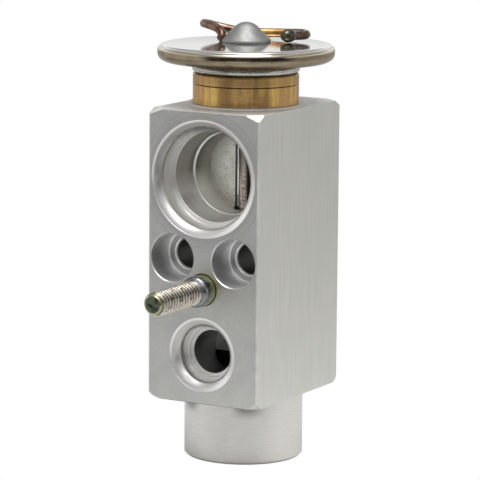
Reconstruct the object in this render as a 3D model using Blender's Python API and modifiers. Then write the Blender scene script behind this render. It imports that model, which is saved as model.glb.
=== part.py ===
"""Block-type thermostatic expansion valve for a car's air conditioning.

Frame: +Z up, the port face looks along -Y, X across it. The origin lies on the port
face, midway between the two bolt holes. All lengths are metres.
"""
import math

import bpy
import bmesh
from mathutils import Matrix, Vector

MM = 0.001
PART_NAME = "expansion_valve"

# Block, an extruded aluminium bar with the valve axis up its middle
BLOCK_WIDTH = 32.7 * MM
BLOCK_DEPTH = 43.7 * MM
BLOCK_ABOVE_BOLTS = 38.4 * MM
BLOCK_BELOW_BOLTS = 37.6 * MM
BLOCK_EDGE_RADIUS = 0.7 * MM
END_CONE_RADIUS = 24.85 * MM
END_CONE_ANGLE = math.radians(35.0)

# Turned tail under the block
TAIL_RADIUS = 15.6 * MM
TAIL_LENGTH = 17.0 * MM
TAIL_CHAMFER = 0.6 * MM

# Suction passage, the upper pair of ports
SUCTION_HEIGHT = 21.1 * MM
SUCTION_MOUTH_RADIUS = 15.2 * MM
SUCTION_SEAL_RADIUS = 13.0 * MM
SUCTION_SEAL_DEPTH = 6.3 * MM
SUCTION_STEP_RADIUS = 11.7 * MM
SUCTION_STEP_BEFORE_AXIS = 5.95 * MM
SUCTION_BORE_RADIUS = 9.7 * MM
SUCTION_BORE_BEFORE_AXIS = 0.05 * MM
SUCTION_WEB = 1.0 * MM

# Liquid passage, the lower pair of ports
LIQUID_INLET_HEIGHT = -24.7 * MM
LIQUID_OUTLET_HEIGHT = -21.5 * MM
LIQUID_MOUTH_RADIUS = 9.65 * MM
LIQUID_SEAL_RADIUS = 7.3 * MM
LIQUID_SEAL_DEPTH = 5.0 * MM
LIQUID_STEP_RADIUS = 6.6 * MM
LIQUID_STEP_DEPTH = 5.6 * MM
LIQUID_BORE_RADIUS = 5.65 * MM
INLET_BEFORE_AXIS = 5.05 * MM
OUTLET_BEFORE_AXIS = 10.1 * MM
OUTLET_NECK_RADIUS = 3.2 * MM
OUTLET_NECK_PAST_AXIS = 2.7 * MM

# Facets of the rounding that leads from the face into each port
MOUTH_STEPS = 3

# Bolt holes beside the port axis
BOLT_SPACING = 18.2 * MM
BOLT_HOLE_RADIUS = 3.85 * MM
BOLT_HEAD_RADIUS = 6.35 * MM
BOLT_HEAD_DEPTH = 8.8 * MM
BOLT_EDGE_BREAK = 0.3 * MM
BOLT_SEAT_BREAK = 0.5 * MM

# Stud that clamps the pipe plate
STUD_HEIGHT = -7.6 * MM
STUD_PROJECTION = 24.5 * MM
STUD_THREAD_RADIUS = 3.175 * MM
STUD_TIP_CHAMFER = 1.05 * MM
STUD_COLLAR_RADIUS = 4.0 * MM
STUD_COLLAR_LENGTH = 4.6 * MM
STUD_SHOULDER_RADIUS = 0.9 * MM
STUD_ROOT_RADIUS = 3.0 * MM
STUD_ROOT_LENGTH = 11.0 * MM
STUD_SEAT_DEPTH = 0.6 * MM

# Stem passage, chamber and adjuster bore on the valve axis
STEM_HOLE_RADIUS = 3.0 * MM
STEM_POCKET_DEPTH = 5.4 * MM
GUIDE_CLEARANCE = 0.3 * MM
ORIFICE_RADIUS = 1.75 * MM
SEAT_WALL = 1.9 * MM
CHAMBER_RADIUS = 8.0 * MM
CHAMBER_LENGTH = 17.4 * MM
ADJUSTER_BORE_RADIUS = 9.0 * MM
ADJUSTER_BORE_BREAK = 0.6 * MM

# Socket in the block's top for the power head
SPOT_FACE_RADIUS = 15.4 * MM
SPOT_FACE_DEPTH = 0.3 * MM
SOCKET_RADIUS = 10.0 * MM
SOCKET_DEPTH = 3.8 * MM
COLLAR_ORING_SECTION = 0.95 * MM

# Threaded collar of the power head
COLLAR_RADIUS = 13.85 * MM
COLLAR_HEIGHT = 8.2 * MM
COLLAR_EDGE_BREAK = 0.35 * MM
COLLAR_BORE_RADIUS = 4.4 * MM
COLLAR_CUP_RADIUS = 9.5 * MM
COLLAR_CUP_DEPTH = 4.6 * MM
COLLAR_LINE_HEIGHT = 5.5 * MM
COLLAR_LINE_DEPTH = 0.12 * MM
COLLAR_LINE_WIDTH = 0.25 * MM
NECK_RING_RADIUS = 14.1 * MM
NECK_RING_HEIGHT = 1.7 * MM

# Shells of the power head
HEAD_RADIUS = 23.1 * MM
SHELL_THICKNESS = 1.0 * MM
LOWER_SHELL_INSET = 0.2 * MM
LOWER_SHELL_BAND = 1.8 * MM
LOWER_SHELL_RISE = 0.6 * MM
LOWER_SHELL_DISH = 2.2 * MM
LOWER_SHELL_EDGE = 0.5 * MM
LOWER_SHELL_NECK_STEP = 0.3 * MM
UPPER_SHELL_CROWN = 1.05 * MM
CROWN_INSET = 0.8 * MM
RIM_ROLL_WIDTH = 2.0 * MM
RIM_ROLL_HEIGHT = 2.25 * MM
RIM_EQUATOR_RISE = 0.45 * MM
RIM_SEAM_BREAK = 0.15 * MM
RIM_UNDER_ROLL = 0.8 * MM
RIM_LIP = 1.3 * MM
RIM_LIP_DROP = 1.3 * MM
RIM_FLANGE = 1.4 * MM
DIAPHRAGM_THICKNESS = 0.2 * MM
DIAPHRAGM_WAVE = 0.18 * MM
DIAPHRAGM_WAVES = 2
FILL_HOLE_RADIUS = 1.6 * MM

# Charge cap and charge tube on the crown
CAP_RADIUS = 6.45 * MM
CAP_HEIGHT = 5.0 * MM
CAP_NOSE_RADIUS = 4.4 * MM
CAP_NOSE_ANGLE = math.radians(45.0)
CAP_FLANK_INSET = 1.6 * MM
CAP_FLANK_DROP = 3.0 * MM
CAP_SHOULDER = 0.5 * MM
CAP_FOOT = 0.7 * MM
TUBE_RADIUS = 1.15 * MM
TUBE_END_RADIUS = 1.75 * MM
TUBE_END_LENGTH = 3.4 * MM
TUBE_END_TAPER = 0.45 * MM
TUBE_GRID = 1.0 * MM

# Stem: pad, sensing rod, push rod, ball and carrier
PAD_RADIUS = 9.0 * MM
PAD_THICKNESS = 1.2 * MM
PAD_HUB_RADIUS = 3.5 * MM
PAD_HUB_LENGTH = 4.4 * MM
SENSING_ROD_RADIUS = 1.76 * MM
ROD_SEAT_DEPTH = 3.4 * MM
ROD_END_BREAK = 0.25 * MM
PUSH_ROD_RADIUS = 1.2 * MM
PUSH_ROD_SOCKET = 2.6 * MM
SENSING_ROD_STOP = 0.9 * MM
BALL_RADIUS = 2.38 * MM
CARRIER_CUP_RADIUS = 1.9 * MM
CARRIER_CUP_ANGLE = math.radians(34.5)
CARRIER_NECK_RADIUS = 3.3 * MM
CARRIER_NECK_LENGTH = 1.0 * MM
CARRIER_FLANGE_RADIUS = 5.5 * MM
CARRIER_FLANGE_THICKNESS = 1.4 * MM
CARRIER_SPIGOT_LENGTH = 3.2 * MM

# Seal on the push rod
ROD_ORING_SECTION = 0.6 * MM
RETAINER_THICKNESS = 1.0 * MM

# Spring and adjusting nut
SPRING_RADIUS = 4.4 * MM
SPRING_WIRE_RADIUS = 0.6 * MM
SPRING_COILS = 4.5
SPRING_END_PITCH = 1.55 * MM
NUT_RECESS = 3.2 * MM
NUT_THREAD_LENGTH = 6.0 * MM
NUT_SPIGOT_LENGTH = 5.8 * MM
NUT_POCKET_DEPTH = 2.4 * MM
NUT_EDGE_BREAK = 0.5 * MM
NUT_GROOVE_HEIGHT = 2.0 * MM
NUT_GROOVE_TOP = 1.0 * MM
NUT_ORING_SECTION = 0.7 * MM
HEX_ACROSS_FLATS = 8.0 * MM
HEX_DEPTH = 4.5 * MM

# Clearances
SEAT_GAP = 0.3 * MM
SLIDE_GAP = 0.25 * MM
BALL_GAP = 0.2 * MM
CUT_MARGIN = 2.0 * MM

# Facets
PORT_STEPS = 32
ROUND_STEPS = 36
SMALL_STEPS = 24
MERGE = 0.00001
RING_CORNERS = 8
SHARP_ANGLE = math.radians(32.0)

# Heights and places worked out from the sizes above
AXIS_Y = BLOCK_DEPTH / 2
SUCTION_STEP_DEPTH = AXIS_Y - SUCTION_STEP_BEFORE_AXIS
SUCTION_FRONT_DEPTH = AXIS_Y - SUCTION_BORE_BEFORE_AXIS
SUCTION_REAR_DEPTH = BLOCK_DEPTH - SUCTION_FRONT_DEPTH - SUCTION_WEB
INLET_DEPTH = AXIS_Y - INLET_BEFORE_AXIS
OUTLET_DEPTH = AXIS_Y - OUTLET_BEFORE_AXIS
OUTLET_NECK_DEPTH = AXIS_Y + OUTLET_NECK_PAST_AXIS
LOWER_SHELL_RADIUS = HEAD_RADIUS - LOWER_SHELL_INSET
BLOCK_TOP = BLOCK_ABOVE_BOLTS
BLOCK_BOTTOM = -BLOCK_BELOW_BOLTS
TAIL_BOTTOM = BLOCK_BOTTOM - TAIL_LENGTH
SPOT_FACE_Z = BLOCK_TOP - SPOT_FACE_DEPTH
SPIGOT_RADIUS = SOCKET_RADIUS - SEAT_GAP
ORING_SEAT_RADIUS = SPIGOT_RADIUS + 2 * (COLLAR_ORING_SECTION + SLIDE_GAP)
ORING_SEAT_DEPTH = 2 * (COLLAR_ORING_SECTION + SLIDE_GAP) - SEAT_GAP
SOCKET_BOTTOM = BLOCK_TOP - SOCKET_DEPTH
SUCTION_FLOOR = SUCTION_HEIGHT - SUCTION_BORE_RADIUS
POCKET_BOTTOM = SUCTION_FLOOR - STEM_POCKET_DEPTH
SEAT_Z = LIQUID_OUTLET_HEIGHT - OUTLET_NECK_RADIUS - SEAT_WALL
CHAMBER_BOTTOM = SEAT_Z - CHAMBER_LENGTH
COLLAR_BOTTOM = SPOT_FACE_Z + SEAT_GAP
COLLAR_TOP = COLLAR_BOTTOM + COLLAR_HEIGHT
NECK_BOTTOM = COLLAR_TOP + SEAT_GAP
NECK_TOP = NECK_BOTTOM + NECK_RING_HEIGHT
LOWER_SHELL_BOTTOM = NECK_TOP + SEAT_GAP
LOWER_BAND_BOTTOM = LOWER_SHELL_BOTTOM + LOWER_SHELL_RISE + LOWER_SHELL_EDGE
LOWER_SHELL_TOP = LOWER_BAND_BOTTOM + LOWER_SHELL_BAND
DIAPHRAGM_BOTTOM = LOWER_SHELL_TOP + SEAT_GAP
UPPER_FLANGE_Z = DIAPHRAGM_BOTTOM + DIAPHRAGM_THICKNESS + SEAT_GAP
UPPER_RIM_BOTTOM = UPPER_FLANGE_Z - RIM_LIP_DROP
RIM_EQUATOR_Z = UPPER_RIM_BOTTOM + RIM_EQUATOR_RISE
RIM_TURN = math.asin(1 - CROWN_INSET / RIM_ROLL_WIDTH)
CROWN_Z = RIM_EQUATOR_Z + RIM_ROLL_HEIGHT * math.cos(RIM_TURN) + UPPER_SHELL_CROWN


def clear_scene():
    """Removes what a new Blender file holds."""
    for obj in list(bpy.data.objects):
        bpy.data.objects.remove(obj, do_unlink=True)


clear_scene()

parts = bpy.data.collections.new(PART_NAME)
cutters = bpy.data.collections.new(PART_NAME + "_cutters")
bpy.context.scene.collection.children.link(parts)
bpy.context.scene.collection.children.link(cutters)


def make_material(name, color, roughness, metallic):
    """A plain Principled material."""
    material = bpy.data.materials.new(name)
    material.use_nodes = True
    shader = material.node_tree.nodes["Principled BSDF"]
    shader.inputs["Base Color"].default_value = (*color, 1.0)
    shader.inputs["Roughness"].default_value = roughness
    shader.inputs["Metallic"].default_value = metallic
    return material


ALUMINIUM = ((0.62, 0.62, 0.59), 0.42, 1.0)
ZINC = ((0.60, 0.56, 0.34), 0.32, 1.0)
BRASS = ((0.56, 0.38, 0.14), 0.36, 1.0)
STEEL = ((0.62, 0.63, 0.61), 0.22, 1.0)
SOLDERED = ((0.60, 0.61, 0.58), 0.40, 1.0)
COPPER = ((0.20, 0.10, 0.07), 0.38, 1.0)
RUBBER = ((0.02, 0.02, 0.02), 0.60, 0.0)
ROD_METAL = ((0.45, 0.34, 0.28), 0.38, 1.0)


def add_part(name, mesh, finish):
    """Puts a mesh into the part's collection with its own material."""
    obj = bpy.data.objects.new(name, mesh)
    parts.objects.link(obj)
    mesh.materials.append(make_material(name + "_finish", *finish))
    return obj


def add_cutter(obj):
    """Keeps a cutting shape out of the model itself."""
    cutters.objects.link(obj)
    obj.hide_render = True
    obj.display_type = "WIRE"
    return obj


def profile_mesh(name, points, closed):
    """Edges through (radius, height) points in the XZ plane."""
    mesh = bpy.data.meshes.new(name)
    verts = [(radius, 0.0, height) for radius, height in points]
    edges = [(i, i + 1) for i in range(len(points) - 1)]
    if closed:
        edges.append((len(points) - 1, 0))
    mesh.from_pydata(verts, edges, [])
    return mesh


def add_screw(obj, steps):
    """Turns the object's profile once about its own Z axis."""
    screw = obj.modifiers.new("turn", "SCREW")
    screw.axis = "Z"
    screw.steps = steps
    screw.render_steps = steps
    screw.use_merge_vertices = True
    screw.merge_threshold = MERGE
    screw.use_smooth_shade = True
    return screw


def bake(obj):
    """Makes the modifiers' result the object's own mesh, smooth between sharp edges."""
    bpy.context.view_layer.update()
    depsgraph = bpy.context.evaluated_depsgraph_get()
    mesh = bpy.data.meshes.new_from_object(obj.evaluated_get(depsgraph))
    obj.modifiers.clear()
    obj.data = mesh
    mesh.shade_smooth()
    mesh.set_sharp_from_angle(angle=SHARP_ANGLE)
    return obj


def turned_part(name, points, finish, closed=False, steps=ROUND_STEPS, origin_z=0.0):
    """A turned piece on the valve axis, its profile given by world heights."""
    local = [(radius, height - origin_z) for radius, height in points]
    obj = add_part(name, profile_mesh(name, local, closed), finish)
    obj.location = (0.0, AXIS_Y, origin_z)
    add_screw(obj, steps)
    return bake(obj)


def turned_cutter(name, points, location, pitch_deg=0.0, steps=PORT_STEPS):
    """A turned cutting shape. A pitch of 90 points it out of the front, -90 out of the back."""
    obj = add_cutter(bpy.data.objects.new(name, profile_mesh(name, points, False)))
    obj.location = location
    obj.rotation_euler = (math.radians(pitch_deg), 0.0, 0.0)
    add_screw(obj, steps)
    return obj


def cut(obj, cutter, operation="DIFFERENCE"):
    """Adds a Boolean to the object."""
    boolean = obj.modifiers.new(cutter.name, "BOOLEAN")
    boolean.operation = operation
    boolean.object = cutter
    boolean.solver = "EXACT"
    return boolean


def port_profile(mouth, seal, seal_depth, inner):
    """A port from outside to inside, as (radius, -depth) points, rounded over at its mouth.

    inner lists (radius, depth) pairs, each bore ending at its own depth.
    """
    rounding = mouth - seal
    points = [(0.0, CUT_MARGIN), (mouth, CUT_MARGIN)]
    for i in range(MOUTH_STEPS + 1):
        turn = math.pi / 2 * i / MOUTH_STEPS
        points.append((mouth - rounding * math.sin(turn), rounding * (math.cos(turn) - 1)))
    points.append((seal, -seal_depth))
    depth = seal_depth
    for radius, end in inner:
        points += [(radius, -depth), (radius, -end)]
        depth = end
    points.append((0.0, -depth))
    return points


def build_block():
    """The bar with its broken upright edges, before any machining."""
    mesh = bpy.data.meshes.new("valve_body")
    shape = bmesh.new()
    bmesh.ops.create_cube(shape, size=1.0)
    height = BLOCK_TOP - BLOCK_BOTTOM
    bmesh.ops.scale(shape, vec=(BLOCK_WIDTH, BLOCK_DEPTH, height), verts=shape.verts)
    centre = Vector((0.0, AXIS_Y, (BLOCK_TOP + BLOCK_BOTTOM) / 2))
    bmesh.ops.translate(shape, vec=centre, verts=shape.verts)
    upright = [edge for edge in shape.edges
               if abs(edge.verts[0].co.z - edge.verts[1].co.z) > height / 2]
    bmesh.ops.bevel(shape, geom=upright, offset=BLOCK_EDGE_RADIUS, segments=3,
                    affect="EDGES", profile=0.5)
    shape.to_mesh(mesh)
    shape.free()
    return add_part("valve_body", mesh, ALUMINIUM)


def end_cone_envelope():
    """Turned envelope whose two end cones trim the block's corners."""
    reach = math.hypot(BLOCK_WIDTH, BLOCK_DEPTH) / 2 + CUT_MARGIN
    drop = (reach - END_CONE_RADIUS) * math.tan(END_CONE_ANGLE)
    narrow = END_CONE_RADIUS - CUT_MARGIN / math.tan(END_CONE_ANGLE)
    high = BLOCK_TOP + CUT_MARGIN
    low = BLOCK_BOTTOM - CUT_MARGIN
    points = [(0.0, high), (narrow, high), (reach, BLOCK_TOP - drop)]
    points += [(reach, BLOCK_BOTTOM + drop), (narrow, low), (0.0, low)]
    return turned_cutter("end_cones", points, (0.0, AXIS_Y, 0.0), steps=ROUND_STEPS)


def tail_shape():
    """The turned tail, sunk a little into the block so that the two join."""
    top = BLOCK_BOTTOM + CUT_MARGIN
    points = [(0.0, top), (TAIL_RADIUS, top), (TAIL_RADIUS, TAIL_BOTTOM + TAIL_CHAMFER)]
    points += [(TAIL_RADIUS - TAIL_CHAMFER, TAIL_BOTTOM), (0.0, TAIL_BOTTOM)]
    return turned_cutter("tail", points, (0.0, AXIS_Y, 0.0), steps=ROUND_STEPS)


def axis_cutter():
    """Everything bored on the valve axis from above: head socket, stem hole, guide."""
    guide = PUSH_ROD_RADIUS + GUIDE_CLEARANCE
    points = [(0.0, BLOCK_TOP + CUT_MARGIN), (SPOT_FACE_RADIUS, BLOCK_TOP + CUT_MARGIN)]
    points += [(SPOT_FACE_RADIUS, SPOT_FACE_Z), (ORING_SEAT_RADIUS, SPOT_FACE_Z)]
    points += [(ORING_SEAT_RADIUS, SPOT_FACE_Z - ORING_SEAT_DEPTH)]
    points += [(SOCKET_RADIUS, SPOT_FACE_Z - ORING_SEAT_DEPTH), (SOCKET_RADIUS, SOCKET_BOTTOM)]
    points += [(STEM_HOLE_RADIUS, SOCKET_BOTTOM), (STEM_HOLE_RADIUS, POCKET_BOTTOM)]
    points += [(guide, POCKET_BOTTOM), (guide, LIQUID_OUTLET_HEIGHT), (0.0, LIQUID_OUTLET_HEIGHT)]
    return turned_cutter("stem_bore", points, (0.0, AXIS_Y, 0.0))


def chamber_cutter():
    """The orifice, the valve chamber and the adjuster's bore, from below."""
    mouth = ADJUSTER_BORE_RADIUS + ADJUSTER_BORE_BREAK
    points = [(0.0, LIQUID_OUTLET_HEIGHT), (ORIFICE_RADIUS, LIQUID_OUTLET_HEIGHT)]
    points += [(ORIFICE_RADIUS, SEAT_Z), (CHAMBER_RADIUS, SEAT_Z)]
    points += [(CHAMBER_RADIUS, CHAMBER_BOTTOM), (ADJUSTER_BORE_RADIUS, CHAMBER_BOTTOM)]
    points += [(ADJUSTER_BORE_RADIUS, TAIL_BOTTOM + ADJUSTER_BORE_BREAK), (mouth, TAIL_BOTTOM)]
    points += [(mouth, TAIL_BOTTOM - CUT_MARGIN), (0.0, TAIL_BOTTOM - CUT_MARGIN)]
    return turned_cutter("chamber_bore", points, (0.0, AXIS_Y, 0.0))


def bolt_cutter(name, x):
    """A counterbored hole right through the block."""
    head = BOLT_HEAD_RADIUS
    hole = BOLT_HOLE_RADIUS
    back = -BLOCK_DEPTH
    points = [(0.0, CUT_MARGIN), (head + BOLT_EDGE_BREAK, CUT_MARGIN)]
    points += [(head + BOLT_EDGE_BREAK, 0.0), (head, -BOLT_EDGE_BREAK), (head, -BOLT_HEAD_DEPTH)]
    points += [(hole + BOLT_SEAT_BREAK, -BOLT_HEAD_DEPTH), (hole, -BOLT_HEAD_DEPTH - BOLT_SEAT_BREAK)]
    points.append((hole, back + BOLT_EDGE_BREAK))
    points += [(hole + BOLT_EDGE_BREAK, back), (hole + BOLT_EDGE_BREAK, back - CUT_MARGIN)]
    points.append((0.0, back - CUT_MARGIN))
    return turned_cutter(name, points, (x, 0.0, 0.0), pitch_deg=90.0, steps=32)


def stud_hole():
    """The blind hole for the stud's root, with a shallow seat that the stud's collar stands in."""
    seat = STUD_COLLAR_RADIUS + SEAT_GAP
    radius = STUD_ROOT_RADIUS + SEAT_GAP
    end = STUD_ROOT_LENGTH + 2 * SEAT_GAP
    points = [(0.0, CUT_MARGIN), (seat, CUT_MARGIN), (seat, -STUD_SEAT_DEPTH)]
    points += [(radius, -STUD_SEAT_DEPTH), (radius, -end), (0.0, -end)]
    return turned_cutter("stud_hole", points, (0.0, 0.0, STUD_HEIGHT), pitch_deg=90.0,
                         steps=SMALL_STEPS)


def build_body():
    """The machined block with its tail, ports, bolt holes and bores."""
    body = build_block()
    cut(body, end_cone_envelope(), "INTERSECT")
    cut(body, tail_shape(), "UNION")
    suction_step = [(SUCTION_STEP_RADIUS, SUCTION_STEP_DEPTH)]
    front = suction_step + [(SUCTION_BORE_RADIUS, SUCTION_FRONT_DEPTH)]
    rear = suction_step + [(SUCTION_BORE_RADIUS, SUCTION_REAR_DEPTH)]
    liquid_step = [(LIQUID_STEP_RADIUS, LIQUID_STEP_DEPTH)]
    inlet = liquid_step + [(LIQUID_BORE_RADIUS, INLET_DEPTH)]
    outlet = liquid_step + [(LIQUID_BORE_RADIUS, OUTLET_DEPTH)]
    outlet.append((OUTLET_NECK_RADIUS, OUTLET_NECK_DEPTH))
    suction = (SUCTION_MOUTH_RADIUS, SUCTION_SEAL_RADIUS, SUCTION_SEAL_DEPTH)
    liquid = (LIQUID_MOUTH_RADIUS, LIQUID_SEAL_RADIUS, LIQUID_SEAL_DEPTH)
    rows = [("suction_outlet", suction, front, SUCTION_HEIGHT, 90.0),
            ("suction_inlet", suction, rear, SUCTION_HEIGHT, -90.0),
            ("liquid_inlet", liquid, inlet, LIQUID_INLET_HEIGHT, 90.0),
            ("liquid_outlet", liquid, outlet, LIQUID_OUTLET_HEIGHT, -90.0)]
    for name, mouth, inner, height, pitch in rows:
        face_y = 0.0 if pitch > 0 else BLOCK_DEPTH
        points = port_profile(*mouth, inner)
        cut(body, turned_cutter(name, points, (0.0, face_y, height), pitch_deg=pitch))
    for name, side in (("bolt_hole_left", -1), ("bolt_hole_right", 1)):
        cut(body, bolt_cutter(name, side * BOLT_SPACING / 2))
    cut(body, stud_hole())
    cut(body, axis_cutter())
    cut(body, chamber_cutter())
    return body


def build_stud():
    """The pipe-plate stud: tip, threaded length, smooth collar and hidden root."""
    tip = STUD_PROJECTION
    thread = STUD_THREAD_RADIUS
    collar_start = SEAT_GAP - STUD_SEAT_DEPTH
    collar_end = SEAT_GAP + STUD_COLLAR_LENGTH
    points = [(0.0, tip), (thread - STUD_TIP_CHAMFER, tip), (thread, tip - STUD_TIP_CHAMFER)]
    points.append((thread, collar_end))
    for i in range(5):
        turn = math.pi / 2 * i / 4
        x = STUD_COLLAR_RADIUS - STUD_SHOULDER_RADIUS * (1 - math.sin(turn))
        z = collar_end - STUD_SHOULDER_RADIUS * (1 - math.cos(turn))
        if x > thread:
            points.append((x, z))
    points += [(STUD_COLLAR_RADIUS, collar_start), (STUD_ROOT_RADIUS, collar_start)]
    points += [(STUD_ROOT_RADIUS, -STUD_ROOT_LENGTH), (0.0, -STUD_ROOT_LENGTH)]
    obj = add_part("mounting_stud", profile_mesh("mounting_stud", points, False), ZINC)
    obj.location = (0.0, 0.0, STUD_HEIGHT)
    obj.rotation_euler = (math.radians(90.0), 0.0, 0.0)
    add_screw(obj, SMALL_STEPS)
    return bake(obj)


def torus_profile(ring_radius, section, z, corners=RING_CORNERS):
    """Closed round section of a seal ring."""
    turns = [2 * math.pi * i / corners for i in range(corners)]
    return [(ring_radius + section * math.cos(-a), z + section * math.sin(-a)) for a in turns]


def build_collar():
    """The brass collar that screws the power head into the block."""
    spigot = SPIGOT_RADIUS
    spigot_bottom = SOCKET_BOTTOM + SEAT_GAP
    line_z = COLLAR_BOTTOM + COLLAR_LINE_HEIGHT
    edge = COLLAR_EDGE_BREAK
    outer = COLLAR_RADIUS
    inner = outer - COLLAR_LINE_DEPTH
    half = COLLAR_LINE_WIDTH / 2
    cup_bottom = COLLAR_TOP - COLLAR_CUP_DEPTH
    points = [(COLLAR_CUP_RADIUS, COLLAR_TOP), (outer - edge, COLLAR_TOP), (outer, COLLAR_TOP - edge)]
    points += [(outer, line_z + half), (inner, line_z), (outer, line_z - half)]
    points += [(outer, COLLAR_BOTTOM + edge), (outer - edge, COLLAR_BOTTOM), (spigot, COLLAR_BOTTOM)]
    points += [(spigot, spigot_bottom), (COLLAR_BORE_RADIUS, spigot_bottom)]
    points += [(COLLAR_BORE_RADIUS, cup_bottom), (COLLAR_CUP_RADIUS, cup_bottom)]
    return turned_part("threaded_collar", points, BRASS, closed=True)


def build_collar_oring():
    """The seal round the collar's spigot, in the seat at the socket's mouth."""
    section = COLLAR_ORING_SECTION
    ring = SPIGOT_RADIUS + SLIDE_GAP + section
    z = SPOT_FACE_Z - ORING_SEAT_DEPTH + SLIDE_GAP + section
    return turned_part("collar_oring", torus_profile(ring, section, z), RUBBER, closed=True,
                       steps=SMALL_STEPS)


def build_neck_ring():
    """The rounded steel ring brazed between collar and lower shell."""
    outer = NECK_RING_RADIUS
    bulge = NECK_RING_HEIGHT / 2
    middle = NECK_BOTTOM + bulge
    points = [(COLLAR_CUP_RADIUS, NECK_TOP)]
    for i in range(7):
        turn = math.pi * i / 6
        points.append((outer - bulge * (1 - math.sin(turn)), middle + bulge * math.cos(turn)))
    points.append((COLLAR_CUP_RADIUS, NECK_BOTTOM))
    return turned_part("neck_ring", points, STEEL, closed=True)


def build_lower_shell():
    """The pressed lower shell: neck, flange for the diaphragm, shoulder under the rolled rim."""
    band = LOWER_SHELL_RADIUS
    edge = LOWER_SHELL_EDGE
    seat = HEAD_RADIUS - RIM_LIP - SEAT_GAP
    shoulder = UPPER_RIM_BOTTOM - SEAT_GAP
    flange_inner = HEAD_RADIUS - RIM_LIP - RIM_FLANGE
    neck_outer = NECK_RING_RADIUS - LOWER_SHELL_NECK_STEP
    floor = LOWER_SHELL_BOTTOM + SHELL_THICKNESS
    points = [(COLLAR_CUP_RADIUS, floor), (flange_inner - LOWER_SHELL_DISH, floor + LOWER_SHELL_RISE)]
    points += [(flange_inner, LOWER_SHELL_TOP), (seat, LOWER_SHELL_TOP), (seat, shoulder)]
    points += [(band - RIM_SEAM_BREAK, shoulder), (band, shoulder - RIM_SEAM_BREAK)]
    under = RIM_UNDER_ROLL
    for i in range(4):
        turn = math.pi / 2 * i / 3
        points.append((band - under * (1 - math.cos(turn)), LOWER_BAND_BOTTOM + under * (1 - math.sin(turn))))
    points += [(band - edge - LOWER_SHELL_DISH, LOWER_BAND_BOTTOM - LOWER_SHELL_NECK_STEP)]
    points += [(neck_outer + 2 * edge, LOWER_SHELL_BOTTOM + edge / 2)]
    points += [(neck_outer, LOWER_SHELL_BOTTOM), (COLLAR_CUP_RADIUS, LOWER_SHELL_BOTTOM)]
    return turned_part("lower_shell", points, STEEL, closed=True)


def build_diaphragm():
    """The thin waved disc between the shells."""
    outer = HEAD_RADIUS - RIM_LIP - SEAT_GAP
    flat = HEAD_RADIUS - RIM_LIP - RIM_FLANGE
    middle = PAD_RADIUS
    samples = DIAPHRAGM_WAVES * 4
    wave = []
    for i in range(samples + 1):
        share = i / samples
        lift = DIAPHRAGM_WAVE / 2 * (1 - math.cos(2 * math.pi * DIAPHRAGM_WAVES * share))
        wave.append((flat + (middle - flat) * share, DIAPHRAGM_BOTTOM + lift))
    low = [(outer, DIAPHRAGM_BOTTOM)] + wave + [(0.0, DIAPHRAGM_BOTTOM)]
    top = [(radius, z + DIAPHRAGM_THICKNESS) for radius, z in reversed(low)]
    return turned_part("diaphragm", top + low, STEEL, steps=SMALL_STEPS)


def crown_height(radius):
    """Height of the upper shell's outer face, a shallow crown that falls towards the rim."""
    share = min(1.0, radius / (HEAD_RADIUS - CROWN_INSET))
    return CROWN_Z - UPPER_SHELL_CROWN * share ** 4


def build_upper_shell():
    """The pressed upper shell with its rolled rim and fill hole."""
    outer = HEAD_RADIUS
    reach = outer - CROWN_INSET - FILL_HOLE_RADIUS
    radii = [FILL_HOLE_RADIUS + reach * i / 7 for i in range(8)]
    points = [(radius, crown_height(radius)) for radius in radii]
    for i in range(1, 5):
        turn = RIM_TURN + (math.pi / 2 - RIM_TURN) * i / 4
        points.append((outer - RIM_ROLL_WIDTH * (1 - math.sin(turn)),
                       RIM_EQUATOR_Z + RIM_ROLL_HEIGHT * math.cos(turn)))
    points.append((outer - RIM_SEAM_BREAK, UPPER_RIM_BOTTOM))
    points += [(outer - RIM_LIP, UPPER_RIM_BOTTOM), (outer - RIM_LIP, UPPER_FLANGE_Z)]
    flange_inner = outer - RIM_LIP - RIM_FLANGE
    points += [(flange_inner, UPPER_FLANGE_Z)]
    inner = [radius for radius in reversed(radii) if radius < flange_inner - 0.5 * MM]
    points += [(radius, crown_height(radius) - SHELL_THICKNESS) for radius in inner]
    return turned_part("upper_shell", points, STEEL, closed=True)


def build_cap():
    """The soldered cone with its domed nose, which closes the fill hole."""
    foot = crown_height(CAP_RADIUS) + SEAT_GAP
    top = CROWN_Z + CAP_HEIGHT + SEAT_GAP
    nose = CAP_NOSE_RADIUS
    nose_z = top - nose
    points = [(0.0, top)]
    for i in range(1, 6):
        turn = CAP_NOSE_ANGLE * i / 5
        points.append((nose * math.sin(turn), nose_z + nose * math.cos(turn)))
    points += [(CAP_RADIUS - CAP_FLANK_INSET, top - CAP_FLANK_DROP)]
    points += [(CAP_RADIUS - CAP_SHOULDER, foot + CAP_FOOT)]
    points += [(CAP_RADIUS, foot + CAP_FOOT / 3), (CAP_RADIUS, foot)]
    points += [(0.0, CROWN_Z + SEAT_GAP)]
    return turned_part("charge_cap", points, SOLDERED, steps=32)


def tube_route():
    """Centre line of the charge tube, from the cap's foot round behind it."""
    lift = CROWN_Z + TUBE_RADIUS
    rough = [(-7.6, -2.8, 0.4), (-7.5, -2.0, 1.0), (-8.6, -1.4, 1.5), (-10.4, -0.6, 1.95),
             (-12.7, 0.4, 2.5), (-13.9, 1.7, 2.75), (-13.4, 3.7, 2.7), (-10.5, 5.8, 1.8),
             (-6.0, 7.8, 0.8), (-1.0, 9.6, 0.4), (4.0, 11.1, 0.35), (8.4, 12.3, 0.35),
             (11.0, 12.0, 0.4), (11.9, 10.6, 0.6), (11.6, 9.0, 0.8), (10.9, 7.9, 0.95)]
    grid = TUBE_GRID
    return [Vector((x * grid, AXIS_Y + y * grid, lift + z * grid)) for x, y, z in rough]


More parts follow.
